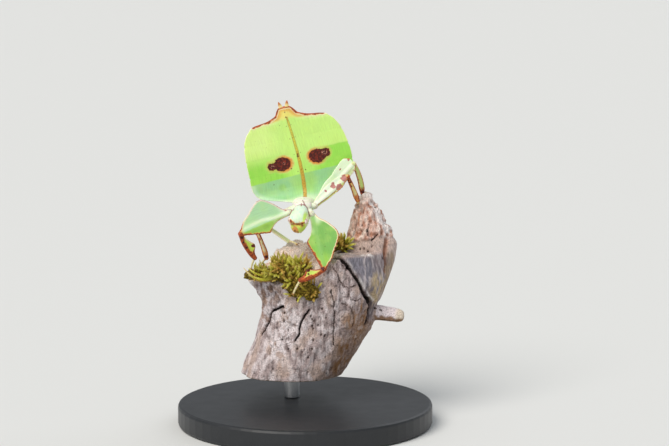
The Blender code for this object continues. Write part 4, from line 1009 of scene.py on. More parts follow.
def limbFields(points, name):
    limb, marks = flatLimbs[name], limbMarks[name]
    rel = points - np.array(limb["start"])
    length = limb["length"]
    along = rel @ np.array(limb["axis"])
    share = along / length
    inner = rel @ np.array(limb["inner"]) + limb["bow"] * 4 * share * (1 - share)
    side = rel @ np.array(limb["normal"])
    dense = np.linspace(0, 1, 260)
    reach = limbReach(limb, dense)
    flat = np.c_[inner, along]
    outerRim = rimDistances(np.c_[-reach[:, 0], dense * length], flat)
    innerRim = rimDistances(np.c_[reach[:, 1], dense * length], flat)
    rim = np.minimum(outerRim, innerRim)
    made = blankFields(len(points))
    paint = painter(made, skinTones)
    paint(marks["outer"], 1.0)
    paint(marks["inner"], ramp(inner, -0.1, 0.25))
    for at, aside, radius, colour in marks.get("patches", ()):
        paint(colour, fall(np.hypot((share - at) * length, inner - aside), 0.2, radius * 1.6))
    paint(marks["root"], fall(share, 0.03, 0.22 if limb["leafLike"] else 0.12))
    if limb["leafLike"]:
        ribAt = eased(marks.get("ribPath", ((0, -0.1), (1, -0.1))), np.clip(share, 0, 1))[:, 0]
        ribShare = 0.9 * bell(inner, ribAt, marks["ribWidth"]) * (1 - 0.4 * ramp(share, 0.6, 1))
        paint(marks["rib"], ribShare)
    else:
        paint(marks["rib"], 0.8 * bell(inner, 0, marks["ribWidth"]))
    for begin, end, colour, strength in marks.get("bands", ()):
        within = ramp(share, begin - 0.06, begin + 0.06) * fall(share, end, end + 0.1)
        paint(colour, strength * within)
    if "edge" in marks:
        colour, width = marks["edge"]
        paint(colour, 0.85 * fall(outerRim, width * 0.6, width * 1.2))
    wander = 1.0 + 0.45 * lumps(points, 1.1, 7) + 0.2 * lumps(points, 0.45, 17)
    places = np.clip(share, 0, 1)
    rust = np.full(len(inner), far)
    for key, edge in (("rustOuter", outerRim), ("rustInner", innerRim)):
        width = eased(marks[key], places)[:, 0]
        rust = np.minimum(rust, np.where(width > 0.01, edge - width * wander, far))
    made["rust"] = rust
    made["cream"] = np.minimum(outerRim - marks["creamOuter"], innerRim - marks["creamInner"])
    blush = np.zeros(len(inner))
    for at, aside, radius, strength in marks.get("blush", ()):
        away = np.hypot((share - at) * length, inner - aside) + 0.4 * lumps(points, 0.7, 19)
        blush = np.maximum(blush, strength * fall(away, radius * 0.5, radius * 1.25))
    made["blush"] = blush
    made["dot"] = discDistances(marks.get("dots", ()), share, inner, length)
    made["spot"] = discDistances(marks.get("darks", ()), share, inner, length) + 0.12 * lumps(points, 0.5, 33)
    if "line" in marks:
        depth, halfWidth, begin, end = marks["line"]
        inside = (share > begin - 0.02) & (share < end)
        made["line"] = np.where(inside, np.abs(outerRim - depth) - halfWidth * wander, far)
        paint(marks["strip"], fall(outerRim, depth - 0.05, depth + 0.05) * inside)
    made["grainX"], made["grainY"] = inner, along
    relief = 0.035 * lumps(np.c_[inner, along, np.zeros(len(inner))], 2.0, 4) * ramp(rim, 0.2, 1.2)
    relief += 0.025 * fall(rim, 0.1, 0.35) * ramp(share, 0.1, 0.3)
    if limb["leafLike"]:  # faint side veins on the lobes
        veins = np.abs(np.sin(2.6 * (along - 0.7 * np.abs(inner))))
        relief += 0.02 * fall(veins, 0.0, 0.4) * ramp(np.abs(inner), 0.8, 1.6) * ramp(rim, 0.3, 1.0)
        relief *= 0.4 + 0.6 * ramp(side, -0.1, 0.1)
    made["relief"] = relief
    return made


headMarks = {
    # orange-red brow: aside, distance from the neck, half thickness
    "brow": ((-2.6, 4.5, 0.2), (-2.05, 5.05, 0.4), (-1.6, 5.35, 0.46), (-1.1, 5.6, 0.28), (-0.15, 5.85, 0.14),
             (0.9, 5.7, 0.15), (1.45, 5.4, 0.22), (1.8, 5.25, 0.18), (2.3, 4.95, 0.05)),
    "browDarks": ((5.0, -2.05, 0.1), (5.45, 1.6, 0.1)),  # along, aside, radius
    # along, aside, half sizes aside and along
    "faceStreaks": ((5.75, -0.95, 0.2, 0.4), (5.7, 0.75, 0.16, 0.5), (6.1, 1.3, 0.16, 0.3)),
    "mouthCentre": (7.3, -0.5, 1.2),
}


def headFields(points):
    forward, across, up = [np.array(v) for v in headAxes()]
    rel = points - np.array(head["neck"])
    along, x, above = rel @ forward, rel @ across, rel @ up
    top = ramp(above + 0.35 * (along > 5.5), -0.9, 0.1)
    brow = eased([(a, b) for a, b, c in headMarks["brow"]], x)[:, 0]
    thick = eased([(a, c) for a, b, c in headMarks["brow"]], x)[:, 0]
    face = ramp(along - brow, -0.1, 0.15)
    wobble = lumps(points, 0.7, 41)
    made = blankFields(len(points))
    paint = painter(made, skinTones)
    paint("dome", 1.0)
    paint("mint", 0.75 * ramp(wobble, -0.1, 0.35))
    paint("cheek", ramp(x + 0.1 * wobble, 1.3, 1.75) * ramp(along, 1.2, 3.0))
    paint("face", face)
    paint("cheek", 0.5 * face * ramp(wobble, -0.2, 0.3))
    paint("faceEdge", 0.9 * face * fall(x, -2.0, -1.45))
    paint("cheekEdge", 0.9 * ramp(x, 2.1, 2.45) * ramp(along, 1.5, 3.0) * fall(along, 6.0, 6.6))
    paint("cheekEdge", 0.8 * fall(above, -1.0, -0.2))
    for at, aside, wide, tall in headMarks["faceStreaks"]:
        paint("streak", 0.85 * np.exp(-((x - aside) / wide) ** 2 - ((along - at) / tall) ** 2) * top)
    at, aside, radius = headMarks["mouthCentre"]
    paint("mouth", 0.9 * fall(np.hypot(along - at, x - aside) + 0.2 * wobble, radius * 0.7, radius))
    line = np.abs(along - brow) - thick * (1 + 0.4 * wobble)
    made["rust"] = np.where((top > 0.5) & (np.abs(x) < 2.4), line, far)
    made["spot"] = np.where(top > 0.5, discDistances(headMarks["browDarks"], along, x) + 0.15 * wobble, far)
    made["dot"] = np.where(top > 0.4, np.hypot(along - 7.25, x + 0.45) - 0.18, far)
    made["grainX"], made["grainY"] = x, along
    # seams of the head capsule, the brow, the eyes' rims and the feelers' sockets
    relief = -0.05 * bell(x, 0, 0.13) * bell(along, 2.6, 1.7) * top
    relief += 0.12 * bell(along - brow, -0.15, 0.3) * top * fall(np.abs(x), 1.9, 2.4)
    relief -= 0.06 * bell(along - brow, 0.25, 0.16) * top
    relief -= 0.08 * bell(along - 6.3 + 0.12 * x * x, 0, 0.14) * top
    relief -= 0.06 * bell(np.abs(x) - 0.95 - 0.12 * (along - 5.6), 0, 0.12) * bell(along, 6.0, 0.6) * top
    relief += 0.08 * bell(along, 6.62, 0.2) * top * fall(np.abs(x), 0.9, 1.3)
    for side in (-1, 1):
        eye = np.array(headPoint(head["eye"][0], side * head["eye"][1], head["eye"][2]))
        away = np.linalg.norm(points - eye, axis=1)
        relief += 0.1 * bell(away, head["eyeRadius"] + 0.1, 0.14)
        socket = np.array(headPoint(head["feeler"][0], side * head["feeler"][1] * 0.92, head["feeler"][2]))
        away = np.linalg.norm(points - socket, axis=1)
        relief += 0.09 * bell(away, 0.48, 0.13) - 0.08 * bell(away, 0.0, 0.25)
    relief += 0.02 * lumps(points, 0.32, 6) * (1 - face)
    made["relief"] = relief
    return made


# Dark pink seams between the thorax's plates, the second being a painted shadow line between the thorax and
# the right front coxa, as millimetres in space
thoraxSeamsAndShade = (
    ((-0.6, -0.9, 63.8), (-0.45, -2.6, 63.6), (-0.2, -4.3, 63.1), (0.35, -4.7, 62.3), (1.0, -5.0, 61.4)),
    ((-4.5, -4.9, 61.9), (-3.8, -5.1, 61.6), (-2.8, -6.0, 61.4)),
    ((-1.0, -4.5, 63.1), (-0.95, -5.5, 62.6)),
)


def spaceDistance(points, corners):
    best = np.full(len(points), 99.0)
    for start, end in zip(corners, corners[1:]):
        start, end = np.array(start), np.array(end)
        way = end - start
        t = np.clip((points - start) @ way / (way @ way), 0, 1)
        best = np.minimum(best, np.linalg.norm(points - start - t[:, None] * way, axis=1))
    return best


def thoraxFields(points):
    x, y, z = points[:, 0] - thorax["x"], points[:, 1], points[:, 2] - thorax["z"]
    upper = ramp(z, -0.2, 0.6)
    made = blankFields(len(points))
    paint = painter(made, skinTones)
    paint("thorax", 1.0)
    paint("mint", 0.5 * ramp(lumps(points, 0.9, 42), 0.0, 0.4))
    paint("collar", 0.8 * fall(y, -4.4, -3.6))
    paint("root", 0.7 * ramp(y, 4.0, 6.0))
    paint("below", 0.4 * (1 - upper))
    made["blush"] = 0.5 * bell(np.abs(x) - 1.9, 0, 0.2) * bell(y, -2.6, 1.4) * upper
    made["dot"] = np.minimum(np.hypot(x + 1.7, y + 3.2) - 0.1, np.hypot(x - 0.2, y - 0.3) - 0.1)
    made["middle"] = np.where((upper > 0.5) & (y > 3.4), np.abs(x) - 0.42 * ramp(y, 3.0, 5.4), far)
    made["ochre"] = 1.0
    made["grainX"], made["grainY"] = x, y
    relief = -0.08 * bell(x, 0, 0.16) * bell(y, -2.9, 1.0) * upper
    relief += 0.09 * bell(x, 0, 0.25) * ramp(y, -0.8, 0.0) * upper
    relief -= 0.07 * bell(y, -2.9, 0.16) * upper * fall(np.abs(x), 1.2, 1.6)
    relief += 0.08 * bell(np.abs(x), 1.85, 0.22) * bell(y, -2.9, 1.2) * upper
    relief -= 0.1 * (bell(y, -1.5, 0.14) + bell(y, 2.6, 0.14))
    relief += 0.05 * np.maximum(0, lumps(points, 0.55, 9)) * bell(np.abs(x), 2.0, 0.6) * upper
    made["relief"] = relief
    return made


def smallPartFields(places, word):
    made = blankFields(len(places))
    paint = painter(made, skinTones)
    if word == "coxa":
        paint("coxa", 1.0)
        made["blush"] = 0.45 * ramp(places, 0.75, 0.95)
    elif word == "cercus":
        paint("cercus", 1.0)
        paint("cercusEnd", 0.9 * ramp(places, 0.25, 0.7))
        made["spot"] = 0.35 - 0.5 * ramp(places, 0.8, 0.98)
    else:  # foot: cream, darker where its joints meet and at its pad
        paint("foot", 1.0)
        joint = bell((places * limbs["footJoints"]) % 1.0, 1.0, 0.22)
        paint("footEnd", 0.6 * joint + 0.8 * ramp(places, 0.86, 0.97))
    return made


def seamDistances(mesh, parts, points):
    # distance of each point from where two parts of the body meet, for plain seams and for the head's join
    # with the thorax and coxae, where a painted shadow line goes
    pairs = np.empty(len(mesh.edges) * 2, int)
    mesh.edges.foreach_get("vertices", pairs)
    pairs = pairs.reshape(-1, 2)
    crossing = pairs[parts[pairs[:, 0]] != parts[pairs[:, 1]]]
    neck = partNumber["head"]
    trunk = {partNumber["thorax"], partNumber["coxa"]}
    waist = {partNumber["abdomen"], partNumber["thorax"]}
    found = []
    for wanted in (False, True):
        rows = []
        for a, b in crossing:
            couple = {parts[a], parts[b]}
            neckShade = neck in couple and bool(couple & trunk)
            if neckShade == wanted and couple != waist:
                rows.append((points[a] + points[b]) / 2)
        tree = treeOf(rows)
        found.append(np.array([tree.find(p)[2] for p in points]))
    return found


def refineHead(mesh, onHead):
    # a finer mesh for the head's furrows
    builder = bmesh.new()
    builder.from_mesh(mesh)
    builder.verts.ensure_lookup_table()
    edges = [e for e in builder.edges if onHead[e.verts[0].index] and onHead[e.verts[1].index]]
    bmesh.ops.subdivide_edges(builder, edges=edges, cuts=1, use_grid_fill=True, smooth=0.6)
    bmesh.ops.triangulate(builder, faces=[f for f in builder.faces if len(f.verts) > 4])
    builder.to_mesh(mesh)
    builder.free()


def partFields(name, points, places):
    if name in flatLimbs:
        return limbFields(points, name)
    if name == "abdomen":
        return abdomenFields(points, places)
    if name in ("head", "thorax"):
        return headFields(points) if name == "head" else thoraxFields(points)
    return smallPartFields(places, name)


def dressSkin(mesh):
    parts, places = nearestParts(shells, pointsOf(mesh))
    refineHead(mesh, parts == partNumber["head"])
    points = pointsOf(mesh)
    parts, places = nearestParts(shells, points)
    fields = blankFields(len(points))
    for name, number in partNumber.items():
        chosen = parts == number
        if chosen.any():
            for key, values in partFields(name, points[chosen], places[chosen]).items():
                fields[key][chosen] = values
    relief = fields.pop("relief")
    plain, neckShade = seamDistances(mesh, parts, points)
    # dark lines where parts meet; the strong one round the head's back is painted shadow behind its dome,
    # over a groove
    relief -= 0.05 * bell(plain, 0, 0.14) + 0.16 * bell(neckShade, 0, 0.2)
    fields["seamAndShade"] = np.maximum(0.45 * bell(plain, 0, 0.12), 0.85 * bell(neckShade, 0, 0.16))
    front = points[:, 1] < 0.5
    tree = treeOf(points)
    # seams of the thorax, and a painted shadow line by the right front coxa
    for corners in thoraxSeamsAndShade:
        pairs = zip(corners, corners[1:])
        dense = [Vector(a).lerp(Vector(b), t) for a, b in pairs for t in (0, 0.25, 0.5, 0.75)]
        laid = [tree.find(p)[0] for p in dense + [Vector(corners[-1])]]
        away = spaceDistance(points, laid)
        relief -= 0.08 * bell(away, 0, 0.16) * front
        fields["seamAndShade"] = np.maximum(fields["seamAndShade"], 0.8 * bell(away, 0, 0.22) * front)
    setPoints(mesh, points + normalsOf(mesh) * relief[:, None])
    setFields(mesh, fields)
    mesh.shade_smooth()
    return mesh


skinLook = {
    "lime": "#d3ee74", "cream": "#f7efcf", "rust": "#7f2a10", "rustBright": "#c2541f", "fringe": "#e2a24e",
    "yellow": "#d9d24a", "ochre": "#cf9a33", "midlineEdge": "#9a6a1e", "spot": "#430f07",
    "spotLight": "#8a2a16", "halo": "#dc8436", "glow": "#dcec96", "speck": "#d9a08c", "dot": "#5b3a14",
    "blush": "#b4565a", "seamAndShade": "#8d4a48",
    # millimetres
    "streakWidth": 0.16, "streakLength": 3.5, "blotch": 0.45, "granule": 0.14, "slowPatch": 3.0,
}


def leafCuticle():
    # Chitin cuticle of a leaf insect, grown, waxy and finely grained: a soft satin with no hard glints,
    # a little light passing through its thin lobes
    material, tree, shader = newMaterial("leafCuticle", {
        "Roughness": 0.46, "IOR": 1.5, "Specular IOR Level": 0.35, "Sheen Weight": 0.08,
        "Subsurface Weight": 0.12, "Subsurface Radius": (0.6, 1.0, 0.3), "Subsurface Scale": 0.0006,
    })
    look = skinLook
    field = {
        name: addNode(tree, "Attribute", {"attribute_name": name}, "Fac")
        for name in skinDistances + skinShares
    }
    tone = addNode(tree, "Attribute", {"attribute_name": "tone"}, "Color")
    place = addNode(tree, "TexCoord", {}, "Object")
    grid = addNode(tree, "CombineXYZ", {"X": field["grainX"], "Y": field["grainY"]})
    stretched = addNode(tree, "VectorMath", {
        "operation": "MULTIPLY", 0: grid, 1: (1 / look["streakWidth"], 1 / look["streakLength"], 1.0),
    })
    streaks = addNode(tree, "TexNoise", {"Scale": 1.0, "Detail": 2.0, "Vector": stretched})
    blotches, slowPatches = [
        addNode(tree, "TexNoise", {"Scale": 1 / (size * mm), "Detail": detail, "Vector": place})
        for size, detail in ((look["blotch"], 3.0), (look["slowPatch"], 2.0))
    ]

    def wandering(name, size):
        return ragged(tree, field[name], blotches, size)

    def within(name, share):
        # a share that holds only as far as a field does
        share = addNode(tree, "MapRange", share)
        return addNode(tree, "Math", {"operation": "MULTIPLY", 0: share, 1: field[name]})

    # grown colour: slightly uneven along fine streaks
    value = addNode(tree, "MapRange", spanOf(streaks, 0.3, 0.7, 0.94, 1.06))
    grown = addNode(tree, "HueSaturation", {"Value": value, "Color": tone})
    # midline: yellow to ochre, its edges and joints darker
    stripe = wandering("middle", 0.16)
    stripeEdge = addNode(tree, "Math", {"operation": "ABSOLUTE", 0: stripe})
    stripeColour = layered(tree, look["yellow"], (
        (field["ochre"], look["ochre"]), (spanOf(blotches, 0.46, 0.6, 0.0, 0.45), look["midlineEdge"]),
    ))
    rim, spot = wandering("rust", 0.3), wandering("spot", 0.35)
    rustColour = layered(tree, look["rust"], ((spanOf(blotches, 0.42, 0.6), look["rustBright"]),))
    spotColour = layered(tree, look["spot"], (
        (spanOf(blotches, 0.45, 0.68), look["spotLight"]),
        (within("speck", spanOf(blotches, 0.5, 0.62, 0.0, 0.9)), look["speck"]),
    ))
    colour = layered(tree, grown, (
        (spanOf(slowPatches, 0.42, 0.68, 0.0, 0.16), look["lime"]),
        (spanOf(wandering("cream", 0.2), -0.1, 0.1, 0.85, 0.0), look["cream"]),
        (spanOf(stripe, -0.06, 0.1, 0.9, 0.0), stripeColour),
        (spanOf(stripeEdge, 0.02, 0.12, 0.5, 0.0), look["midlineEdge"]),
        # pink patches, seams where parts meet, and painted shadow where the head meets the thorax
        (spanOf(wandering("blush", 0.7), 0.3, 0.8, 0.0, 0.85), look["blush"]),
        (spanOf(wandering("seamAndShade", 0.3), 0.15, 0.75, 0.0, 0.85), look["seamAndShade"]),
        # rust rims: a bright fringe, then a mottled dark edge
        (spanOf(rim, -0.02, 0.26, 0.8, 0.0), look["fringe"]),
        (spanOf(rim, -0.12, 0.04, 0.95, 0.0), rustColour),
        (spanOf(wandering("line", 0.15), -0.06, 0.06, 0.8, 0.0), rustColour),
        # eyespots and dark marks: a pale glow, an orange halo, then a mottled dark middle with paler flecks
        (within("haloSide", spanOf(spot, 0.4, 1.1, 0.6, 0.0)), look["glow"]),
        (within("haloSide", spanOf(spot, 0.05, 0.9, 1.0, 0.0)), look["halo"]),
        (spanOf(spot, -0.06, 0.08, 1.0, 0.0), spotColour),
        (spanOf(wandering("dot", 0.1), -0.05, 0.1, 0.85, 0.0), look["dot"]),
    ))
    granules = addNode(tree, "TexVoronoi", {"Scale": 1 / (look["granule"] * mm), "Vector": place})
    height = addNode(tree, "Math", {"operation": "MULTIPLY_ADD", 0: streaks, 1: 0.5, 2: granules})
    bump = addNode(tree, "Bump", {"Strength": 0.35, "Distance": 0.03 * mm, "Height": height})
    rough = addNode(tree, "MapRange", spanOf(blotches, 0.3, 0.7, 0.4, 0.54))
    feed(shader, {"Base Color": colour, "Normal": bump, "Roughness": rough})
    return material


fleshNodes = [name for name in nodes if name.startswith(("leg_", "abdomen", "cercus"))]
fleshNodes += ["head", "prothorax", "mesothorax", "metathorax"]
skin = newPiece("insectSkin", dressSkin(skinMesh), leafCuticle(), fleshNodes)
print("skin dressed,", len(skin.data.polygons), "faces")


# Eyes, feelers, mouthparts and claws

def lathedBall(points, faces, centre, axes, sizes, rows, turns):
    first = len(points)
    a, b, c = axes
    for k in range(rows + 1):
        polar = math.pi * k / rows
        for i in range(turns):
            turn = 2 * math.pi * i / turns
            points.append(centre + a * sizes[0] * math.sin(polar) * math.cos(turn)
                          + b * sizes[1] * math.sin(polar) * math.sin(turn) + c * sizes[2] * math.cos(polar))
    for k in range(rows):
        for i in range(turns):
            j = (i + 1) % turns
            faces.append((first + k * turns + i, first + (k + 1) * turns + i,
                          first + (k + 1) * turns + j, first + k * turns + j))


eyeLook = {"light": "#f0e2d8", "dark": "#c49a90", "facet": 0.11}


def compoundEyeCornea():
    # Chitin cornea of a compound eye, tiny moulded facets: glossy, with a faint net over it
    material, tree, shader = newMaterial("compoundEyeCornea", {
        "Roughness": 0.18, "IOR": 1.56, "Coat Weight": 0.4,
    })
    place = addNode(tree, "TexCoord", {}, "Object")
    bands = addNode(tree, "TexNoise", {"Scale": 1 / (0.5 * mm), "Detail": 2.0, "Vector": place})
    colour = layered(tree, eyeLook["light"], ((spanOf(bands, 0.35, 0.68, shape="LINEAR"), eyeLook["dark"]),))
    # real facets are 0.03 mm, drawn coarser so that they show
    facets = addNode(tree, "TexVoronoi", {"Scale": 1 / (eyeLook["facet"] * mm), "Vector": place})
    bump = addNode(tree, "Bump", {"Strength": 0.4, "Distance": 0.02 * mm, "invert": True, "Height": facets})
    feed(shader, {"Base Color": colour, "Normal": bump})
    return material


feelerLook = {"base": "#c9b45e", "rust": "#a04622", "dark": "#5e2412"}


def hornyChitin():
    # Hard chitin of feelers, jaws and claws, thicker and darker: a low gloss with amber depth
    material, tree, shader = newMaterial("hornyChitin", {"Roughness": 0.32, "IOR": 1.54})
    place = addNode(tree, "TexCoord", {}, "Object")
    mottle = addNode(tree, "TexNoise", {"Scale": 1 / (0.35 * mm), "Detail": 3.0, "Vector": place})
    tip = addNode(tree, "Attribute", {"attribute_name": "tip"}, "Fac")
    colour = layered(tree, feelerLook["base"], (
        (spanOf(mottle, 0.35, 0.65, shape="LINEAR"), feelerLook["rust"]), (tip, feelerLook["dark"]),
    ))
    bump = addNode(tree, "Bump", {"Strength": 0.3, "Distance": 0.03 * mm, "Height": mottle})
    feed(shader, {"Base Color": colour, "Normal": bump})
    return material


def makeEyes():
    cornea = compoundEyeCornea()
    forward, across, up = headAxes()
    for side, word in ((1, "Left"), (-1, "Right")):
        points, faces = [], []
        centre = headPoint(head["eye"][0], side * head["eye"][1], head["eye"][2])
        sizes = [head["eyeRadius"] * share for share in head["eyeShape"]]
        lathedBall(points, faces, centre, (forward, up, across), sizes, 28, 40)
        eye = meshFrom("eye", points, faces, weld=0.002)
        newPiece("eye" + word, eye, cornea, ["eye_" + word.lower()])


feeler = {
    "joints": 9,
    "length": 3.6,
    "radius": 0.26,
    "starts": (0.1, -0.15, 0.8),  # along the head, aside, above
    "ends": (0.45, -0.55, 0.8),
}


def feelerShells(held, side):
    forward, across, up = headAxes()
    centre = headPoint(head["feeler"][0], side * head["feeler"][1], head["feeler"][2])
    path, tips = [centre - (up * 0.3)], [0.0]
    steps = feeler["joints"] * 6
    first, last = Vector(feeler["starts"]), Vector(feeler["ends"])
    for k in range(steps):
        a, b, c = first.lerp(last, k / steps)
        direction = (forward * a + across * side * b + up * c).normalized()
        path.append(path[-1] + direction * feeler["length"] / steps)
        tips.append((k + 1) / steps)
    radii = []
    for share in tips:
        place = share * feeler["joints"]
        bead = math.sin(math.pi * (place % 1.0)) ** 0.6 if place % 1.0 > 0 else 0.0
        size = 1.35 if place < 1 else (1.1 if place < 2 else 1.0 - 0.25 * share)
        radii.append(feeler["radius"] * size * (0.72 + 0.28 * bead))
    radii[-1] = 0.04
    held.addRings(0, tubeRings(path, radii, 16, Vector((0.3, -1, 0.1))), [0.25 * t for t in tips])


def tipMesh(held, name):
    # mesh of the shells, with how dark each point is
    mesh = meshFrom(name, held.points, held.faces)
    setFields(mesh, {"tip": held.places})
    return mesh


mouth = {
    # centre and half sizes of each half: along, aside, above
    "lip": ((6.95, 0.26, -0.5), (0.62, 0.42, 0.45)),
    "jaw": ((6.6, 0.45, -0.8), (0.5, 0.42, 0.42)),
    # joints of the outer and the inner palp: along the head, aside, above
    "palps": (((6.4, 0.7, -1.0), (6.85, 0.9, -1.3), (6.85, 0.8, -1.8), (6.5, 0.6, -2.2)),
              ((6.3, 0.24, -1.4), (6.7, 0.36, -1.75), (6.5, 0.32, -2.2))),
    "palpRadius": 0.2,
}


# corners of a claw from its foot's end: ahead, aside, away from the ground
clawCorners = ((-0.1, 0.12, 0.02), (0.4, 0.32, 0.16), (0.75, 0.46, 0.08), (0.92, 0.5, -0.2))


def makeHeadTrim():
    horn = hornyChitin()
    axes = headAxes()
    for side, word in ((1, "Left"), (-1, "Right")):
        held = Shells()
        feelerShells(held, side)
        newPiece("feeler" + word, tipMesh(held, "feeler"), horn, ["antenna_" + word.lower()])
    held = Shells()
    (along, aside, above), sizes = mouth["lip"]
    for half in (-1, 1):  # two-lobed upper lip
        held.addOval(0, headPoint(along, half * aside, above), axes, sizes, 0.05)
    (along, aside, above), sizes = mouth["jaw"]
    for side in (-1, 1):
        held.addOval(0, headPoint(along, side * aside, above), axes, sizes, 0.2)
        for corners in mouth["palps"]:
            path = curvePoints([headPoint(a, side * b, c) for a, b, c in corners], 22)
            shares = np.linspace(0, 1, len(path))
            beads = 0.8 + 0.25 * np.abs(np.sin(math.pi * shares * (len(corners) - 1))) ** 0.7
            held.addRings(0, tubeRings(path, mouth["palpRadius"] * beads, 12, axes[1]), 0.3 * shares)
    newPiece("mouthPalps", tipMesh(held, "mouthPalps"), horn, ["mouthparts"])
    held = Shells()
    for legName in legs:
        path, outward = footPath(legName)
        heading = (path[-1] - path[-3]).normalized()
        heading = (heading - outward * heading.dot(outward)).normalized()
        aside = heading.cross(outward).normalized()
        for side in (-1, 1):
            corners = [
                path[-1] + heading * ahead + aside * side * apart + outward * above
                for ahead, apart, above in clawCorners
            ]
            claw = curvePoints(corners, 14)
            shares = np.linspace(0, 1, 14)
            radii = limbs["clawRadius"] * (1.0 - 0.88 * shares ** 1.5)
            held.addRings(0, tubeRings(claw, radii, 10, outward), 0.25 + 0.75 * shares)
    newPiece("claws", tipMesh(held, "claws"), horn)


makeEyes()
makeHeadTrim()
print("eyes, feelers, mouth and claws made")


# Broken branch: the solid's own form, with bark, cracks and fibres

branch = {
    "voxel": 0.29,
    "smoothing": 12,
    "centreY": 6.0,
    "bottom": 13.0,
    # height, x of the stub's middle
    "levels": ((13.0, -3.9), (18.0, -1.4), (26.0, 2.7), (31.0, 4.1), (34.5, 4.4), (37.5, 4.4), (40.5, 3.4),
               (50.0, 3.6)),
    "splinter": (17.8, 9.5),  # centre x and y of the splinter's upper part
    "twigStart": (15.0, 5.5, 31.0),
    "twigEnd": (27.9, 2.2, 30.0),
    # the solid's bark ends along this straight line: degrees round the stub and height of its ends
    "solidCrack": ((288.0, 49.0), (343.0, 33.0)),
    "barkThickness": 0.7,
    # where the bark really ends: height and degrees round the stub
    "barkEdge": ((30.3, 332.8), (32.3, 333.0), (34.1, 332.3), (35.4, 326.9), (36.8, 321.5), (38.4, 318.0),
                 (41.3, 315.5), (43.9, 309.8), (45.4, 305.5), (46.5, 302.7), (47.7, 297.6), (48.6, 290.0)),
    # lower end of the shaggy wood on the splinter: x and height
    "shelf": ((10.0, 50.3), (15.5, 51.2), (18.5, 51.7), (21.1, 52.6), (24.0, 52.0)),
    # how far the back rim lies below the solid's: x, millimetres
    "rimDrop": ((-13.0, 4.6), (-10.9, 4.4), (-9.8, 3.9), (-8.4, 2.5), (-6.2, 1.4), (-3.5, 0.7), (-1.0, 0.0),
                (5.0, 0.0)),
}

# Lines on the branch: half width, depth and points in millimetres
branchCracks = (
    (0.5, 1.3, ((8.1, -4.0, 47.8), (9.2, -5.5, 48.1), (10.3, -6.6, 47.7), (11.5, -6.3, 46.5),
                (12.3, -6.2, 45.4))),
    (0.42, 1.3, ((12.3, -6.2, 45.4), (13.4, -5.9, 43.9), (14.2, -5.8, 42.5), (15.1, -5.5, 41.3),
                 (15.6, -5.3, 39.9))),
    (0.46, 1.4, ((15.6, -5.3, 39.9), (16.2, -4.9, 38.4), (17.1, -4.1, 36.8), (17.9, -2.8, 35.4))),
    (0.75, 1.5, ((17.9, -2.8, 35.4), (18.7, -1.6, 34.1), (18.4, -1.3, 32.3), (18.0, -1.2, 30.3),
                 (17.4, -1.2, 28.9))),
    (0.24, 1.0, ((1.2, -7.3, 33.7), (0.0, -7.1, 32.3), (-0.5, -6.9, 31.4), (-1.1, -6.7, 29.6),
                 (-1.6, -6.5, 27.9), (-1.9, -6.4, 26.2), (-2.8, -6.2, 24.7))),
    (0.36, 1.2, ((-6.1, -4.5, 34.1), (-7.8, -3.3, 33.3), (-9.0, -2.2, 32.5), (-9.6, -1.5, 31.2),
                 (-9.9, -1.4, 29.8), (-10.7, -0.6, 28.2), (-11.6, 0.3, 26.6), (-12.2, 0.6, 25.1))),
    (0.12, 0.2, ((7.8, -7.5, 45.8), (9.2, -7.3, 43.6), (9.8, -7.2, 42.1), (10.6, -7.1, 40.7),
                 (12.0, -6.7, 39.8), (13.1, -6.5, 40.1), (14.0, -6.1, 40.5))),
    (0.1, 0.15, ((12.0, -6.7, 39.8), (12.3, -6.6, 37.8), (12.9, -6.4, 36.6), (14.3, -5.5, 35.9),
                 (15.4, -5.0, 36.4))),
    (0.1, 0.15, ((9.8, -6.9, 35.6), (11.5, -6.5, 35.0), (12.6, -6.2, 34.3), (13.1, -5.6, 33.1),
                 (13.7, -4.9, 31.0), (13.2, -4.7, 28.7))),
    (0.14, 0.25, ((7.3, -7.9, 39.4), (7.6, -7.7, 37.4), (8.1, -7.4, 35.1), (8.1, -7.0, 32.2),
                  (8.1, -6.6, 29.3), (7.8, -6.3, 26.4), (8.1, -5.8, 23.5))),
    (0.1, 0.2, ((10.1, -6.7, 47.1), (10.9, -6.7, 45.4), (11.7, -6.4, 44.8))),
    (0.14, 0.4, ((18.0, 6.5, 55.9), (17.7, 5.8, 54.3), (17.7, 5.0, 52.7))),
    (0.14, 0.4, ((18.6, 4.6, 51.6), (19.4, 4.9, 52.1), (20.3, 5.6, 52.9))),
    (0.22, 0.5, ((18.4, 2.0, 32.0), (20.6, 2.4, 32.4), (21.4, 2.6, 31.8))),
    # guessed ones on the sides and back
    (0.35, 0.9, ((-12.0, 14.0, 42.0), (-11.2, 15.5, 34.0), (-10.0, 16.0, 26.0), (-11.5, 14.8, 19.0))),
    (0.25, 0.8, ((8.5, 18.6, 44.0), (9.6, 18.6, 36.0), (6.8, 18.6, 28.0), (5.5, 18.0, 20.0))),
    (0.3, 0.9, ((-3.0, 19.0, 40.0), (-1.5, 19.2, 33.0), (-3.5, 18.6, 25.0), (-5.0, 18.0, 17.0))),
    (0.2, 0.6, ((18.0, 9.0, 27.0), (15.5, 8.0, 22.0), (12.0, 8.0, 16.0))),
)

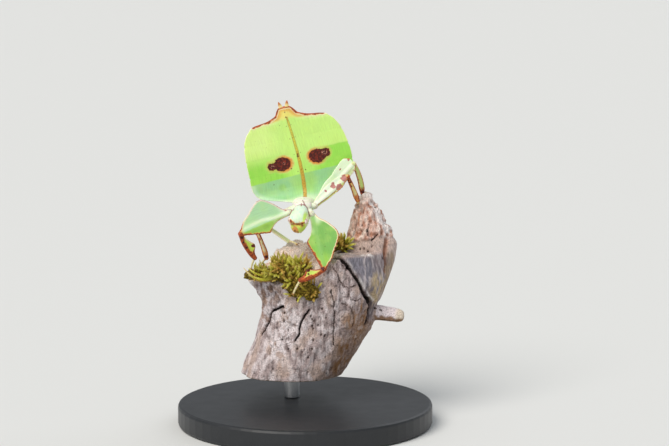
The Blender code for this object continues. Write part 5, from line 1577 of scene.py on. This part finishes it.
branchMarks = {
    # small pits, a little taller than wide, with painted shade in them
    "pits": (
        (1.7, -7.1, 32.0), (2.0, -7.0, 31.1), (2.6, -7.0, 30.5), (2.0, -6.9, 29.1), (2.3, -6.9, 28.3),
        (3.7, -7.0, 29.4), (4.5, -7.1, 26.6), (5.6, -6.8, 26.3), (2.3, -6.9, 25.1), (2.0, -6.9, 22.6),
        (0.9, -6.8, 20.0), (5.9, -7.4, 31.5), (4.8, -7.5, 34.0), (-5.6, -4.9, 32.4), (-5.9, -4.8, 30.1),
        (-4.7, -5.4, 27.7), (-6.4, -5.0, 24.8), (-4.7, -5.7, 22.3), (-2.2, -6.4, 22.5), (-0.8, -6.7, 21.7),
        (16.0, 6.4, 53.9), (16.3, 6.8, 55.3), (19.5, 9.7, 60.1), (16.6, 3.9, 49.2), (18.8, 3.9, 50.0),
        (15.5, 4.3, 49.1), (17.7, 3.5, 48.6), (18.8, -1.3, 48.8), (21.9, 2.5, 46.8), (22.5, 2.7, 44.8),
    ),
    # lines along the bark's broken edge, which carries a painted highlight, the stub's crest and a rusty run
    "woodEdge": ((8.7, -3.5, 48.3), (9.8, -3.3, 48.6), (11.2, -6.0, 47.9), (12.6, -6.0, 46.5),
                 (14.0, -5.3, 44.6), (14.8, -5.4, 42.7), (15.9, -5.2, 41.0), (17.1, -4.6, 38.9),
                 (18.2, -3.1, 36.9), (19.6, -0.8, 35.1)),
    "crest": ((10.1, -3.0, 48.6), (12.7, -2.0, 48.6), (16.0, -1.5, 48.3), (18.2, -2.0, 48.4),
              (20.2, 0.0, 47.4)),
    "rustStreak": ((23.1, 6.4, 51.6), (22.8, 5.1, 50.1), (22.5, 4.3, 48.2), (22.2, 3.8, 46.6),
                   (22.5, 3.8, 44.9), (22.5, 2.4, 43.2)),
    # patches that differ in colour or surface: reach, then their middles
    "patches": {
        "pale": (5.2, ((-7.0, -3.8, 32.5), (-4.2, -5.5, 30.5), (-4.7, -5.4, 26.3), (-8.1, -4.8, 22.4),
                       (-3.0, -6.0, 28.5))),
        "brown": (5.8, ((16.0, -3.7, 32.5), (14.0, -4.1, 28.9), (12.1, -2.9, 22.9), (10.4, -0.5, 16.7),
                        (15.0, -4.0, 30.5))),
        "flaky": (4.2, ((-10.9, -3.2, 39.8), (-11.8, -0.4, 36.7), (-11.6, 1.4, 30.7), (-9.5, -3.8, 37.5))),
        "lilac": (4.6, ((17.5, -3.0, 42.0), (17.0, -3.5, 45.0), (19.5, -0.5, 41.0), (14.5, -4.8, 46.8))),
        "sand": (4.5, ((21.0, 1.0, 38.5), (20.4, -0.3, 36.5), (19.8, -1.0, 40.0))),
        "edge": (4.5, ((23.5, 5.0, 42.0), (22.3, 5.0, 37.0), (24.6, 7.0, 47.0), (24.0, 8.0, 44.0))),
        # the hump gets painted light
        "humpPaleAndLit": (7.0, ((-8.0, 9.0, 44.5), (-5.0, 9.0, 46.0), (-1.5, 8.0, 46.5), (1.5, 7.0, 46.0))),
        "whiteTips": (1.9, ((-16.3, 1.0, 40.6), (-15.8, 0.0, 40.0))),
    },
}

branchTones = {
    "bark": "#bba9a8", "light": "#ddd0d1", "pink": "#d0b6a8", "brown": "#966d47", "pale": "#efe4e6",
    "wood": "#8f8285", "lilac": "#82818d", "sand": "#cdb58e", "edge": "#b39d86", "splinter": "#d6b3a6",
    "splinterPaleAndHighlight": "#f2dfd4", "rust": "#a8653f", "white": "#f8f2f1", "humpPaleAndLit": "#f0dccf", "hollowShade": "#2e2421",
    "twig": "#eee2e6", "twigTip": "#e6d6bd", "sawn": "#c9b28c", "ring": "#9c8158",
}


def nearness(points, centres, radius):
    # 1 close to any of the centres, 0 beyond the radius
    away = np.min([np.linalg.norm(points - np.array(c), axis=1) for c in centres], axis=0)
    return 1 - ramp(away, radius * 0.35, radius)


def solidBareWood(degrees, height):
    # 1 where the solid has no bark, as its own step is worked out
    (topAngle, topHeight), (bottomAngle, bottomHeight) = branch["solidCrack"]
    rise = (height - bottomHeight) / (topHeight - bottomHeight)
    beyond = (degrees - bottomAngle - (topAngle - bottomAngle) * rise) % 360.0
    return ramp(beyond, 0, 7) * fall(beyond, 65, 85) * ramp(rise * 4 + 1, 0, 1)


def dressBranch():
    mesh = remeshed(nodes["perch"].data.copy(), branch["voxel"], branch["smoothing"])
    points, normals = pointsOf(mesh), normalsOf(mesh)
    x, y, height = points.T
    middle = eased(branch["levels"], height)[:, 0]
    degrees = np.degrees(np.arctan2(y - branch["centreY"], x - middle)) % 360.0
    twigAxis = Vector(branch["twigEnd"]) - Vector(branch["twigStart"])
    toTwig = points - np.array(branch["twigStart"])
    alongTwig = toTwig @ np.array(twigAxis.normalized())
    offTwig = np.linalg.norm(toTwig - np.outer(alongTwig, np.array(twigAxis.normalized())), axis=1)
    twig = fall(offTwig, 2.3, 3.0) * ramp(alongTwig, 4.6, 5.6)
    edge = eased(branch["barkEdge"], height)[:, 0]
    beyond = (degrees - edge + 0.8 * lumps(points, 1.2, 1) + 90.0) % 360.0 - 90.0
    high = ramp(height, 49.5, 50.5)  # the splinter stands above the rim all round
    bare = ramp(beyond, 0.0, 2.0) * fall(beyond, 55.0, 90.0) * ramp(height, 28.6, 30.4)
    bare = np.clip(np.maximum(bare, high) * (1 - twig), 0, 1)
    crown = ramp(normals[:, 2], 0.4, 0.7) * ramp(height, 38.0, 40.0) * (1 - high)
    crown *= fall(x + 1.6 * lumps(points, 1.8, 61), 8.0, 10.0)
    bark = (1 - bare) * (1 - crown) * (1 - twig)
    shaggy = ramp(height - eased(branch["shelf"], x)[:, 0] + 0.5 * lumps(points, 1.0, 16), -0.4, 0.4)
    sawn = ramp(-normals[:, 2], 0.6, 0.85) * fall(height, branch["bottom"] + 0.4, branch["bottom"] + 0.9)

    gap = np.full(len(points), far)
    relief = np.zeros(len(points))
    jitter = points + 0.3 * np.c_[lumps(points, 1.5, 2), lumps(points, 1.5, 22), lumps(points, 1.5, 23)]
    for halfWidth, depth, corners in branchCracks:
        away = spaceDistance(jitter, corners)
        gap = np.minimum(gap, away - halfWidth)
        relief -= depth * fall(away, halfWidth * 0.4, halfWidth * 1.7) * (1 - twig)
    squeeze = np.array([1.0, 1.0, 0.62])
    pits = np.array(branchMarks["pits"]) * squeeze
    pit = np.min([np.linalg.norm(points * squeeze - p, axis=1) for p in pits], axis=0)
    pit += 0.08 * high - 0.18
    relief -= 0.35 * fall(pit, -0.1, 0.25)
    gap = np.minimum(gap, pit)

    # relief: knobs and flakes on the bark, upright fibres on the bare wood, crumbly broken ends
    relief -= branch["barkThickness"] * (bare - solidBareWood(degrees, height)) * (1 - high) * (1 - crown)
    patches = branchMarks["patches"].items()
    near = {name: nearness(points, middles, reach) for name, (reach, middles) in patches}
    flaky = near["flaky"]
    threads = lumps(points, 0.55, 54, 0.16)
    relief += bark * (0.3 * lumps(points, 4.2, 3) + 0.3 * lumps(points, 1.5, 4, 0.3))
    relief += bark * 0.16 * threads
    relief += bark * flaky * (0.7 * lumps(points, 1.3, 24, 0.5) + 0.35 * lumps(points, 0.7, 25))
    cells = np.array([noise.voronoi(Vector((p[0] / 3.2, p[1] / 3.2, p[2] / 4.2)))[0][:2] for p in jitter])
    seams = fall(cells[:, 1] - cells[:, 0], 0.0, 0.07)
    seams *= bark * ramp(lumps(points, 6.0, 11), -0.15, 0.2)
    relief -= 0.12 * seams
    specks = ramp(lumps(points, 0.5, 12, 0.6), 0.43, 0.56)
    relief -= 0.2 * specks * (bark + bare * shaggy * 0.6)
    flakes = ramp(lumps(points, 2.4, 13, 0.3), 0.0, 0.12)
    relief += bark * 0.1 * flakes
    fibres = lumps(points, 0.7, 5, 0.12)
    coarse = lumps(points, 2.3, 6, 0.18)
    relief += bare * ((0.06 + 0.2 * shaggy) * fibres + (0.1 + 0.4 * shaggy) * coarse)
    crumbled = lumps(points, 1.5, 14, 0.5)
    relief += bare * shaggy * (0.2 + 0.7 * ramp(crumbled, -0.05, 0.2) + 0.25 * lumps(points, 0.6, 15))
    broken = 0.7 * lumps(points, 2.6, 7) + 0.6 * lumps(points, 0.9, 8) + 0.25 * lumps(points, 0.5, 18)
    relief += crown * broken
    relief += twig * (0.12 * lumps(points, 1.2, 9) + 0.08 * lumps(points, 0.6, 10))
    onEdge = spaceDistance(points, branchMarks["woodEdge"])
    onCrest = spaceDistance(points, branchMarks["crest"])
    inStreak = fall(spaceDistance(points, branchMarks["rustStreak"]), 0.3, 1.0)
    relief += 0.22 * bell(onEdge, 0, 0.45) * bare + 0.15 * bell(onCrest, 0, 0.5)
    relief -= 0.7 * inStreak * (1 - crown)
    relief *= ramp(height, 13.1, 14.0) * 0.8 + 0.2

    fields = {"tone": np.tile(toneRow(branchTones["bark"]), (len(points), 1)), "gap": gap, "bare": bare}
    paint = painter(fields, branchTones)
    slow, quick, tiny = lumps(points, 5.0, 51), lumps(points, 1.3, 52, 0.6), lumps(points, 0.5, 53)
    paint("light", 0.85 * ramp(quick + 0.5 * tiny, -0.05, 0.25))
    # painted shade in the bark's low threads
    paint("hollowShade", 0.42 * bark * ramp(-threads - 0.3 * quick, 0.16, 0.4))
    # painted highlight on its raised threads
    paint("pale", 0.4 * bark * ramp(threads + 0.3 * quick, 0.2, 0.45))
    paint("pink", 0.6 * ramp(slow, -0.05, 0.3))
    paint("pale", 0.95 * near["pale"] * ramp(quick + tiny * 0.6, -0.35, 0.05))
    paint("brown", 0.95 * near["brown"] * ramp(quick + slow * 0.5, -0.3, 0.15))
    paint("brown", 0.5 * ramp(x - middle, 5.0, 12.0) * fall(height, 28, 36) * bark)
    paint("brown", 0.5 * flaky * ramp(-quick, -0.1, 0.2))
    paint("pale", 0.8 * flaky * ramp(quick + 0.5 * tiny, 0.05, 0.25))
    paint("pale", 0.35 * flakes * bark * ramp(quick, 0.0, 0.3))
    # bare wood of the splinter
    paint("wood", bare)
    paint("lilac", 0.8 * bare * near["lilac"] * (1 - shaggy))
    paint("sand", 0.9 * bare * near["sand"] * ramp(quick, -0.4, 0.1))
    paint("edge", 0.9 * bare * near["edge"])
    # painted highlight on the bare wood's raised fibres
    paint("light", 0.5 * bare * (1 - shaggy) * ramp(fibres + coarse, 0.0, 0.5))
    upper = ramp(height, 47.6, 48.8) * bare
    paint("pink", 0.7 * upper)
    paint("splinter", upper * shaggy)
    # painted highlight on the splinter's raised fibres
    paint("splinterPaleAndHighlight", 0.8 * upper * shaggy * ramp(fibres + 0.6 * coarse, 0.0, 0.45))
    paint("rust", 0.65 * upper * shaggy * ramp(-fibres - 0.5 * coarse, 0.05, 0.4))
    # painted shade in the splinter's crumbled hollows
    paint("hollowShade", 0.45 * upper * shaggy * ramp(-crumbled - 0.3 * tiny, 0.12, 0.35))
    bearing = np.degrees(np.arctan2(y - branch["splinter"][1], x - branch["splinter"][0]))
    rightSide = ramp(bearing, -52, -25) * fall(bearing, 20, 60)
    paint("white", 0.75 * rightSide * ramp(height, 50, 54) * ramp(coarse + fibres, -0.5, 0.2))
    paint("white", 0.6 * ramp(height, 60.5, 63.5))
    paint("rust", 0.7 * inStreak)
    # painted highlight along the wood's broken edge
    paint("white", 0.7 * bell(onEdge, 0, 0.45) * bare * ramp(quick, -0.5, 0.2))
    paint("white", 0.75 * bell(onCrest, 0, 0.5) * ramp(quick, -0.5, 0.2))
    # broken top of the stub, and its tips: the hump and the rim's top are painted lighter than their wood,
    # painted light over their shade
    paint("splinterPaleAndHighlight", 0.5 * near["humpPaleAndLit"] * ramp(tiny + quick, -0.4, 0.2))
    paint("humpPaleAndLit", 0.95 * crown)
    paint("splinterPaleAndHighlight", 0.8 * crown * ramp(tiny + 0.6 * quick, -0.2, 0.2))
    paint("rust", 0.45 * crown * ramp(quick - 0.4 * tiny, 0.1, 0.35))
    paint("splinterPaleAndHighlight", 0.75 * ramp(height, 47.6, 49.2) * fall(x, 6, 8) * ramp(tiny + quick, -0.5, 0.2))
    paint("white", 0.9 * near["whiteTips"])
    # twig: bleached above, brown below
    paint("twig", twig)
    paint("twigTip", 0.8 * twig * ramp(alongTwig, 10.5, 12.0))
    paint("brown", 0.9 * twig * ramp(-normals[:, 2] + 0.5 * quick, 0.0, 0.4))
    # painted shade in the deepest hollows, the small pits and the bark's cracked seams
    paint("hollowShade", 0.5 * ramp(-relief, 0.45, 0.9))
    paint("hollowShade", 0.55 * specks * (bark + 0.4 * bare))
    paint("hollowShade", 0.5 * seams)
    ringWave = 0.5 + 0.5 * np.sin(np.hypot(x - middle, 1.15 * (y - branch["centreY"])) * 5.2 + 0.8 * slow)
    paint("sawn", sawn)
    paint("ring", 0.6 * sawn * ringWave ** 3)

    moved = points + normals * relief[:, None]
    drop = eased(branch["rimDrop"], x)[:, 0]
    moved[:, 2] -= drop * ramp(y, 2.0, 6.0) * ramp(height, 40.0, 45.0)
    # the sawn end keeps the solid's crisp edge
    for i in np.flatnonzero(height < branch["bottom"] + 2.0):
        share = fall(height[i], branch["bottom"] + 1.0, branch["bottom"] + 2.0)
        onSolid = groundTrees[0].find_nearest(Vector(moved[i]) * mm)[0]
        moved[i] += (np.array(onSolid) / mm - moved[i]) * share
    setPoints(mesh, moved)
    setFields(mesh, fields)
    mesh.shade_smooth()
    return mesh


branchLook = {"dark": "#1e1715", "brown": "#5b3d2c", "fibre": 0.3, "speck": 0.3}


def weatheredWood():
    # Dead branch wood, sun-bleached and split: dry, chalky, with no gloss
    material, tree, shader = newMaterial("weatheredWood", {
        "Roughness": 0.88, "IOR": 1.5, "Specular IOR Level": 0.25,
    })
    look = branchLook
    place = addNode(tree, "TexCoord", {}, "Object")
    tone = addNode(tree, "Attribute", {"attribute_name": "tone"}, "Color")
    gap, bare = [addNode(tree, "Attribute", {"attribute_name": name}, "Fac") for name in ("gap", "bare")]
    upright = addNode(tree, "Mapping", {"Scale": (1.0, 1.0, 0.1), "Vector": place})
    crumbs, fibres = [
        addNode(tree, "TexNoise", {"Scale": 1 / (look[name] * mm), "Detail": 3.0, "Vector": source})
        for name, source in (("speck", place), ("fibre", upright))
    ]
    grain = addNode(tree, "Mix", {"Factor": bare, "A": crumbs, "B": fibres}, "Result")
    value = addNode(tree, "MapRange", spanOf(grain, 0.36, 0.64, 0.72, 1.24))
    crack = ragged(tree, gap, crumbs, 0.5)
    colour = layered(tree, addNode(tree, "HueSaturation", {"Value": value, "Color": tone}), (
        (spanOf(grain, 0.6, 0.72, 0.0, 0.35), look["brown"]),
        # painted shade: brown beside the cracks and pits, near black within them
        (spanOf(crack, 0.0, 0.28, 0.55, 0.0), look["brown"]),
        (spanOf(crack, -0.06, 0.1, 0.96, 0.0), look["dark"]),
    ))
    height = addNode(tree, "Math", {"operation": "ADD", 0: crumbs, 1: grain})
    bump = addNode(tree, "Bump", {"Strength": 0.9, "Distance": 0.3 * mm, "Height": height})
    feed(shader, {"Base Color": colour, "Normal": bump})
    return material


branchPiece = newPiece("brokenBranch", dressBranch(), weatheredWood(), ["perch"])
print("branch dressed,", len(branchPiece.data.polygons), "faces")


# Moss: a dark bed and plump shoots set with small keeled leaves

moss = {
    "bedShrink": 0.45,
    "bedVoxel": 0.3,
    "bedSmoothing": 4,
    "leftBottom": 41.6,
    "shoots": 450,
    "tuftShoots": 90,
    "length": (1.6, 3.2),
    "stem": 0.2,
    "leaves": 60,
    "leafLength": 0.46,
    "leafWidth": 0.24,
    "seed": 11,
    "leafTurn": 2.4,  # radians from one leaf to the next round the stem
    "clearOfWood": 0.7,  # a shoot's root is at least so far from the wood, or faces away from it
    # no shoots beyond the first x, none below this height left of the second, short ones left of the third
    "leftEnd": -14.2,
    "lowLeft": (-5.0, 41.8),
    "thinLeft": -9.0,
    # the lower right of the cushion is dead and dark but for these living tufts
    "deadCentre": (0.5, -7.5, 37.5),
    "deadReach": 6.8,
    "tufts": ((-5.5, -6.0, 38.4), (-4.1, -7.5, 38.3), (3.1, -7.9, 41.4), (-0.5, -7.5, 37.1),
              (2.0, -7.4, 35.4), (-6.0, -7.9, 43.7), (-4.3, -8.3, 42.9), (-8.6, -5.4, 39.9),
              (1.2, -8.8, 40.2), (3.6, -7.6, 39.6)),
    # long shoots that lie over the rim: thickness, tint (pink-tipped over 1) and root, middle and tip
    "strands": (
        (1.25, 1.5, ((-8.0, -6.6, 42.8), (-11.9, -7.6, 42.4), (-14.6, -6.6, 43.0), (-16.9, -4.9, 45.0))),
        (1.1, 0.9, ((-7.0, -6.4, 43.4), (-11.0, -7.0, 43.2), (-13.8, -6.4, 43.9), (-15.6, -5.2, 45.0))),
        (1.1, 0.45, ((-8.0, -6.2, 44.0), (-11.0, -5.6, 44.4), (-14.0, -4.2, 45.1))),
        (1.15, 0.15, ((-8.5, -6.8, 41.8), (-12.0, -7.3, 41.9), (-13.8, -6.6, 42.2))),
        (1.1, 0.8, ((-8.2, -7.2, 42.5), (-11.5, -8.0, 42.3), (-13.8, -7.4, 43.0))),
        (1.1, 0.8, ((-5.0, -3.5, 44.5), (-6.4, -4.4, 46.6), (-7.0, -4.6, 48.4))),
        (1.2, 0.9, ((-2.5, -3.5, 44.8), (-1.4, -4.4, 47.4), (-0.5, -4.5, 49.5))),
        (1.0, 0.7, ((-7.0, -3.4, 44.2), (-8.4, -4.2, 46.6), (-8.9, -4.5, 48.4))),
        (1.0, 0.95, ((-1.0, -3.2, 44.8), (0.0, -4.0, 46.6), (0.1, -4.4, 48.1))),
        (0.9, 0.7, ((-11.8, 1.2, 43.2), (-12.4, 1.4, 44.8), (-12.8, 1.2, 46.4))),
        (0.9, 0.6, ((-11.4, 1.6, 43.2), (-11.6, 1.8, 44.6), (-11.8, 1.4, 46.0))),
    ),
}


class Shoots:
    def __init__(self):
        self.points, self.faces, self.tips, self.tints, self.spots = [], [], [], [], []
        self.count = 0

    def add(self, point, tip, tint, spot):
        # one point, how near a tip it is, and its spot in the shoot's own square of the map
        self.points.append(point)
        self.tips.append(tip)
        self.tints.append(tint)
        self.spots.append((self.count, *spot))


def addShoot(held, path, size, tint, draw):
    count, sides, first = len(path), 5, len(held.points)
    shares = [k / (count - 1) for k in range(count)]
    radii = [moss["stem"] * size * (1 - 0.6 * share) for share in shares]
    for share, ring in zip(shares, tubeRings(path, radii, sides, Vector((0.31, -0.2, 0.93)))):
        for i, point in enumerate(ring):
            held.add(point, share * 0.5, tint, (i / sides, share))
    held.faces += ringFaces(first, sides, count)
    length = sum((b - a).length for a, b in zip(path, path[1:]))
    leaves = round(moss["leaves"] * length / 3.4)
    for k in range(leaves):
        share = 0.1 + 0.9 * k / (leaves - 1)
        at = share * (count - 1)
        low = min(int(at), count - 2)
        centre = path[low].lerp(path[low + 1], at - low)
        ahead = (path[low + 1] - path[low]).normalized()
        turn = moss["leafTurn"] * k + tint * 6.28
        side = ahead.orthogonal().normalized()
        out = side * math.cos(turn) + ahead.cross(side) * math.sin(turn)
        closing = max(0.0, share - 0.75) / 0.25
        spread = math.radians(draw.uniform(38, 58) * (1 - 0.65 * closing))
        direction = ahead * math.cos(spread) + out * math.sin(spread)
        wide = direction.cross(out).normalized()
        keel = direction.cross(wide).normalized()
        long = moss["leafLength"] * size * draw.uniform(0.8, 1.2) * (1.0 - 0.25 * closing)
        width = moss["leafWidth"] * size * (1 - 0.3 * closing)
        mid = centre + direction * long * 0.45
        base, tip = len(held.points), 0.15 + share * 0.65
        held.add(mid + wide * width / 2 - direction * long * 0.4, tip, tint, (0.2, share))
        held.add(mid - wide * width / 2 - direction * long * 0.4, tip, tint, (0.8, share))
        held.add(mid + keel * width * 0.5, tip, tint, (0.5, share))
        held.add(centre + direction * long, min(1.0, share * 0.6 + 0.5), tint, (0.5, 1.0))
        a, b, c, d = range(base, base + 4)
        held.faces += [(a, b, c), (b, a, d), (a, c, d), (c, b, d)]
    held.count += 1


def isFree(face):
    # only the cushion's free side grows shoots
    point, normal, index, distance = groundTrees[0].find_nearest(face.center)
    return distance > moss["clearOfWood"] * mm or face.normal.dot(normal) > 0.35


def drawRoot(solid, face, draw):
    corners = [solid.vertices[i].co / mm for i in face.vertices]
    a, b = draw.random(), draw.random()
    if a + b > 1:
        a, b = 1 - a, 1 - b
    return corners[0] + (corners[1] - corners[0]) * a + (corners[2] - corners[0]) * b


def growShoots(held, solidName, wanted, draw):
    solid = nodes[solidName].data
    free = [face for face in solid.polygons if isFree(face)]
    weights = [face.area for face in free]
    small = solidName == "perch_moss_tuft"
    for _ in range(wanted):
        face = draw.choices(free, weights)[0]
        root = drawRoot(solid, face, draw)
        dead = max(0.0, 1 - (root - Vector(moss["deadCentre"])).length / moss["deadReach"])
        living = min((root - Vector(t)).length for t in moss["tufts"]) < 1.3
        dark = dead > 0.15 and not living and not small
        if dark and draw.random() < 0.72:
            continue
        if root.x < moss["leftEnd"] or (root.x < moss["lowLeft"][0] and root.z < moss["lowLeft"][1]):
            continue
        normal = face.normal.copy()
        shifts = [Vector(shift) for shift in ((0, 0, 0), (7, 1, 3), (2, 9, 5))]
        wind = Vector([noise.noise(root / 2.6 + shift) for shift in shifts])
        direction = (normal * 0.8 + wind * 1.3 + Vector((-0.1, -0.15, 0.35))).normalized()
        direction = (direction + Vector([draw.uniform(-0.3, 0.3) for _ in range(3)])).normalized()
        bend = Vector([draw.uniform(-1, 1) for _ in range(3)]) * 0.4 + Vector((0, 0, -0.1))
        length = draw.uniform(*moss["length"]) * (0.85 if small else 1.0)
        size = draw.uniform(0.8, 1.25)
        tint = 0.58 + 1.3 * noise.noise(root / 1.9 + Vector((3, 3, 8))) + draw.uniform(-0.2, 0.2)
        tint = min(1.0, max(0.0, tint))
        if dark:
            tint, length = tint * 0.25, length * 0.6
        if root.x < moss["thinLeft"]:
            length *= 0.7
            direction.x = max(direction.x, -0.2)
        start = root - normal * 0.8
        path = [start + direction * length * t + bend * length * 0.35 * t * t for t in np.linspace(0, 1, 6)]
        addShoot(held, path, size, tint, draw)


def makeShoots(material):
    draw = random.Random(moss["seed"])
    held = Shoots()
    growShoots(held, "perch_moss", moss["shoots"], draw)
    growShoots(held, "perch_moss_tuft", moss["tuftShoots"], draw)
    for size, tint, corners in moss["strands"]:
        addShoot(held, curvePoints([Vector(c) for c in corners], 11), size, tint, draw)
    mesh = bpy.data.meshes.new("mossShoots")
    mesh.from_pydata([tuple(p * mm) for p in held.points], [], held.faces)
    setFields(mesh, {"tip": held.tips, "tint": held.tints})
    # each shoot has its own small square of the map, so that its colours stay apart
    grid = math.ceil(math.sqrt(held.count))
    coords = np.array([((cell % grid + 0.1 + 0.8 * u) / grid, (cell // grid + 0.1 + 0.8 * v) / grid)
                       for cell, u, v in held.spots])
    layer = mesh.uv_layers.new(name="OFBake")
    loops = np.empty(len(mesh.loops), int)
    mesh.loops.foreach_get("vertex_index", loops)
    layer.data.foreach_set("uv", coords[loops].ravel())
    newPiece("mossShoots", mesh, material)
    print("moss of", held.count, "shoots,", sum(len(f) - 2 for f in held.faces), "triangles")


def makeBeds(material):
    for number, solidName in enumerate(("perch_moss", "perch_moss_tuft"), 1):
        bed = remeshed(nodes[solidName].data.copy(), moss["bedVoxel"], moss["bedSmoothing"])
        at, away = pointsOf(bed), normalsOf(bed)
        grow = -moss["bedShrink"] + 0.6 * lumps(at, 1.1, 21) + 0.3 * lumps(at, 0.45, 22)
        grow -= 0.9 * fall(at[:, 0], -6.0, -5.0) * fall(at[:, 2], 40.5, 42.0)
        at = at + away * grow[:, None]
        # its left end is thin: nothing hangs below the rim
        share = fall(at[:, 0], -8.0, -6.0)
        at[:, 2] += np.maximum(0, moss["leftBottom"] - at[:, 2]) * 0.85 * share
        setPoints(bed, at)
        bed.shade_smooth()
        newPiece("mossBed" + str(number), bed, material, [solidName])


mossLook = {
    "deep": "#5c4d1d", "olive": "#a8a332", "green": "#d4d04a", "tip": "#f2ec94", "brown": "#a06c2c",
    "brownTip": "#dcb460", "pinkTip": "#f0d4c8", "bedDark": "#43340f", "bedLight": "#8d7a2a",
}


def mossLeaf():
    # Living moss leaf, one cell thick: dull, faintly translucent, brown at the root and pale at the tip
    material, tree, shader = newMaterial("mossLeaf", {
        "Roughness": 0.62, "IOR": 1.42, "Specular IOR Level": 0.3,
    })
    tip, tint = [addNode(tree, "Attribute", {"attribute_name": name}, "Fac") for name in ("tip", "tint")]
    green = addNode(tree, "ValToRGB", {"Fac": tip}, "Color")
    stops = green.node.color_ramp.elements
    stops[0].position, stops[0].color = 0.0, hexToLinear(mossLook["deep"])
    stops[1].position, stops[1].color = 1.0, hexToLinear(mossLook["tip"])
    for position, name in ((0.3, "olive"), (0.68, "green")):
        stops.new(position).color = hexToLinear(mossLook[name])
    dead = layered(tree, mossLook["brown"], ((tip, mossLook["brownTip"]),))
    # strands of a tint over 1 have pink tips
    special = addNode(tree, "MapRange", spanOf(tint, 1.1, 1.4, shape="LINEAR"))
    outer = addNode(tree, "MapRange", spanOf(tip, 0.7, 0.95, shape="LINEAR"))
    pink = addNode(tree, "Math", {"operation": "MULTIPLY", 0: special, 1: outer})
    colour = layered(tree, green, (
        (spanOf(tint, 0.1, 0.6, 0.85, 0.0, "LINEAR"), dead), (pink, mossLook["pinkTip"]),
    ))
    feed(shader, {"Base Color": colour})
    return material


def mossHumus():
    # Dead moss and dust under the shoots: dark, matt and crumbly
    material, tree, shader = newMaterial("mossHumus", {
        "Roughness": 0.95, "IOR": 1.45, "Specular IOR Level": 0.2,
    })
    place = addNode(tree, "TexCoord", {}, "Object")
    crumbs = addNode(tree, "TexNoise", {"Scale": 1 / (0.5 * mm), "Detail": 4.0, "Vector": place})
    colour = layered(tree, mossLook["bedDark"], (
        (spanOf(crumbs, 0.4, 0.65, shape="LINEAR"), mossLook["bedLight"]),
    ))
    bump = addNode(tree, "Bump", {"Strength": 0.9, "Distance": 0.3 * mm, "Height": crumbs})
    feed(shader, {"Base Color": colour, "Normal": bump})
    return material


makeShoots(mossLeaf())
makeBeds(mossHumus())


# Display stand

standLook = {
    "acrylic": "#1d1f22", "acrylicWorn": "#2b2d31", "steel": "#c9cbcd",
    "scuff": 5.0, "sanding": 0.25, "brushLine": 0.08,  # millimetres
}


def satinAcrylic():
    # Cast acrylic, machined and sanded satin: dark and even, with a soft broad highlight
    material, tree, shader = newMaterial("satinAcrylic", {"Roughness": 0.4, "IOR": 1.49})
    place = addNode(tree, "TexCoord", {}, "Object")
    scuffs, sanding = [
        addNode(tree, "TexNoise", {"Scale": 1 / (standLook[name] * mm), "Detail": detail, "Vector": place})
        for name, detail in (("scuff", 5.0), ("sanding", 2.0))
    ]
    colour = layered(tree, standLook["acrylic"], ((scuffs, standLook["acrylicWorn"]),))
    rough = addNode(tree, "MapRange", {"To Min": 0.34, "To Max": 0.5, "Value": scuffs})
    bump = addNode(tree, "Bump", {"Strength": 0.12, "Distance": 0.02 * mm, "Height": sanding})
    feed(shader, {"Base Color": colour, "Roughness": rough, "Normal": bump})
    return material


def brushedSteel():
    # Stainless steel rod, turned and brushed round: fine rings that spread its highlight
    material, tree, shader = newMaterial("brushedSteel", {
        "Base Color": hexToLinear(standLook["steel"]), "Metallic": 1.0, "Roughness": 0.3,
    })
    place = addNode(tree, "TexCoord", {}, "Object")
    rings = addNode(tree, "Mapping", {"Scale": (0.05, 0.05, 1.0), "Vector": place})
    lines = addNode(tree, "TexNoise", {
        "Scale": 1 / (standLook["brushLine"] * mm), "Detail": 2.0, "Vector": rings,
    })
    rough = addNode(tree, "MapRange", {"To Min": 0.22, "To Max": 0.4, "Value": lines})
    bump = addNode(tree, "Bump", {"Strength": 0.2, "Distance": 0.01 * mm, "Height": lines})
    feed(shader, {"Roughness": rough, "Normal": bump})
    return material


for standName, finish in (("stand_base", satinAcrylic()), ("stand_rod", brushedSteel())):
    standNode = nodes[standName]
    standNode.data.materials.clear()
    standNode.data.materials.append(finish)
print("stand finished")
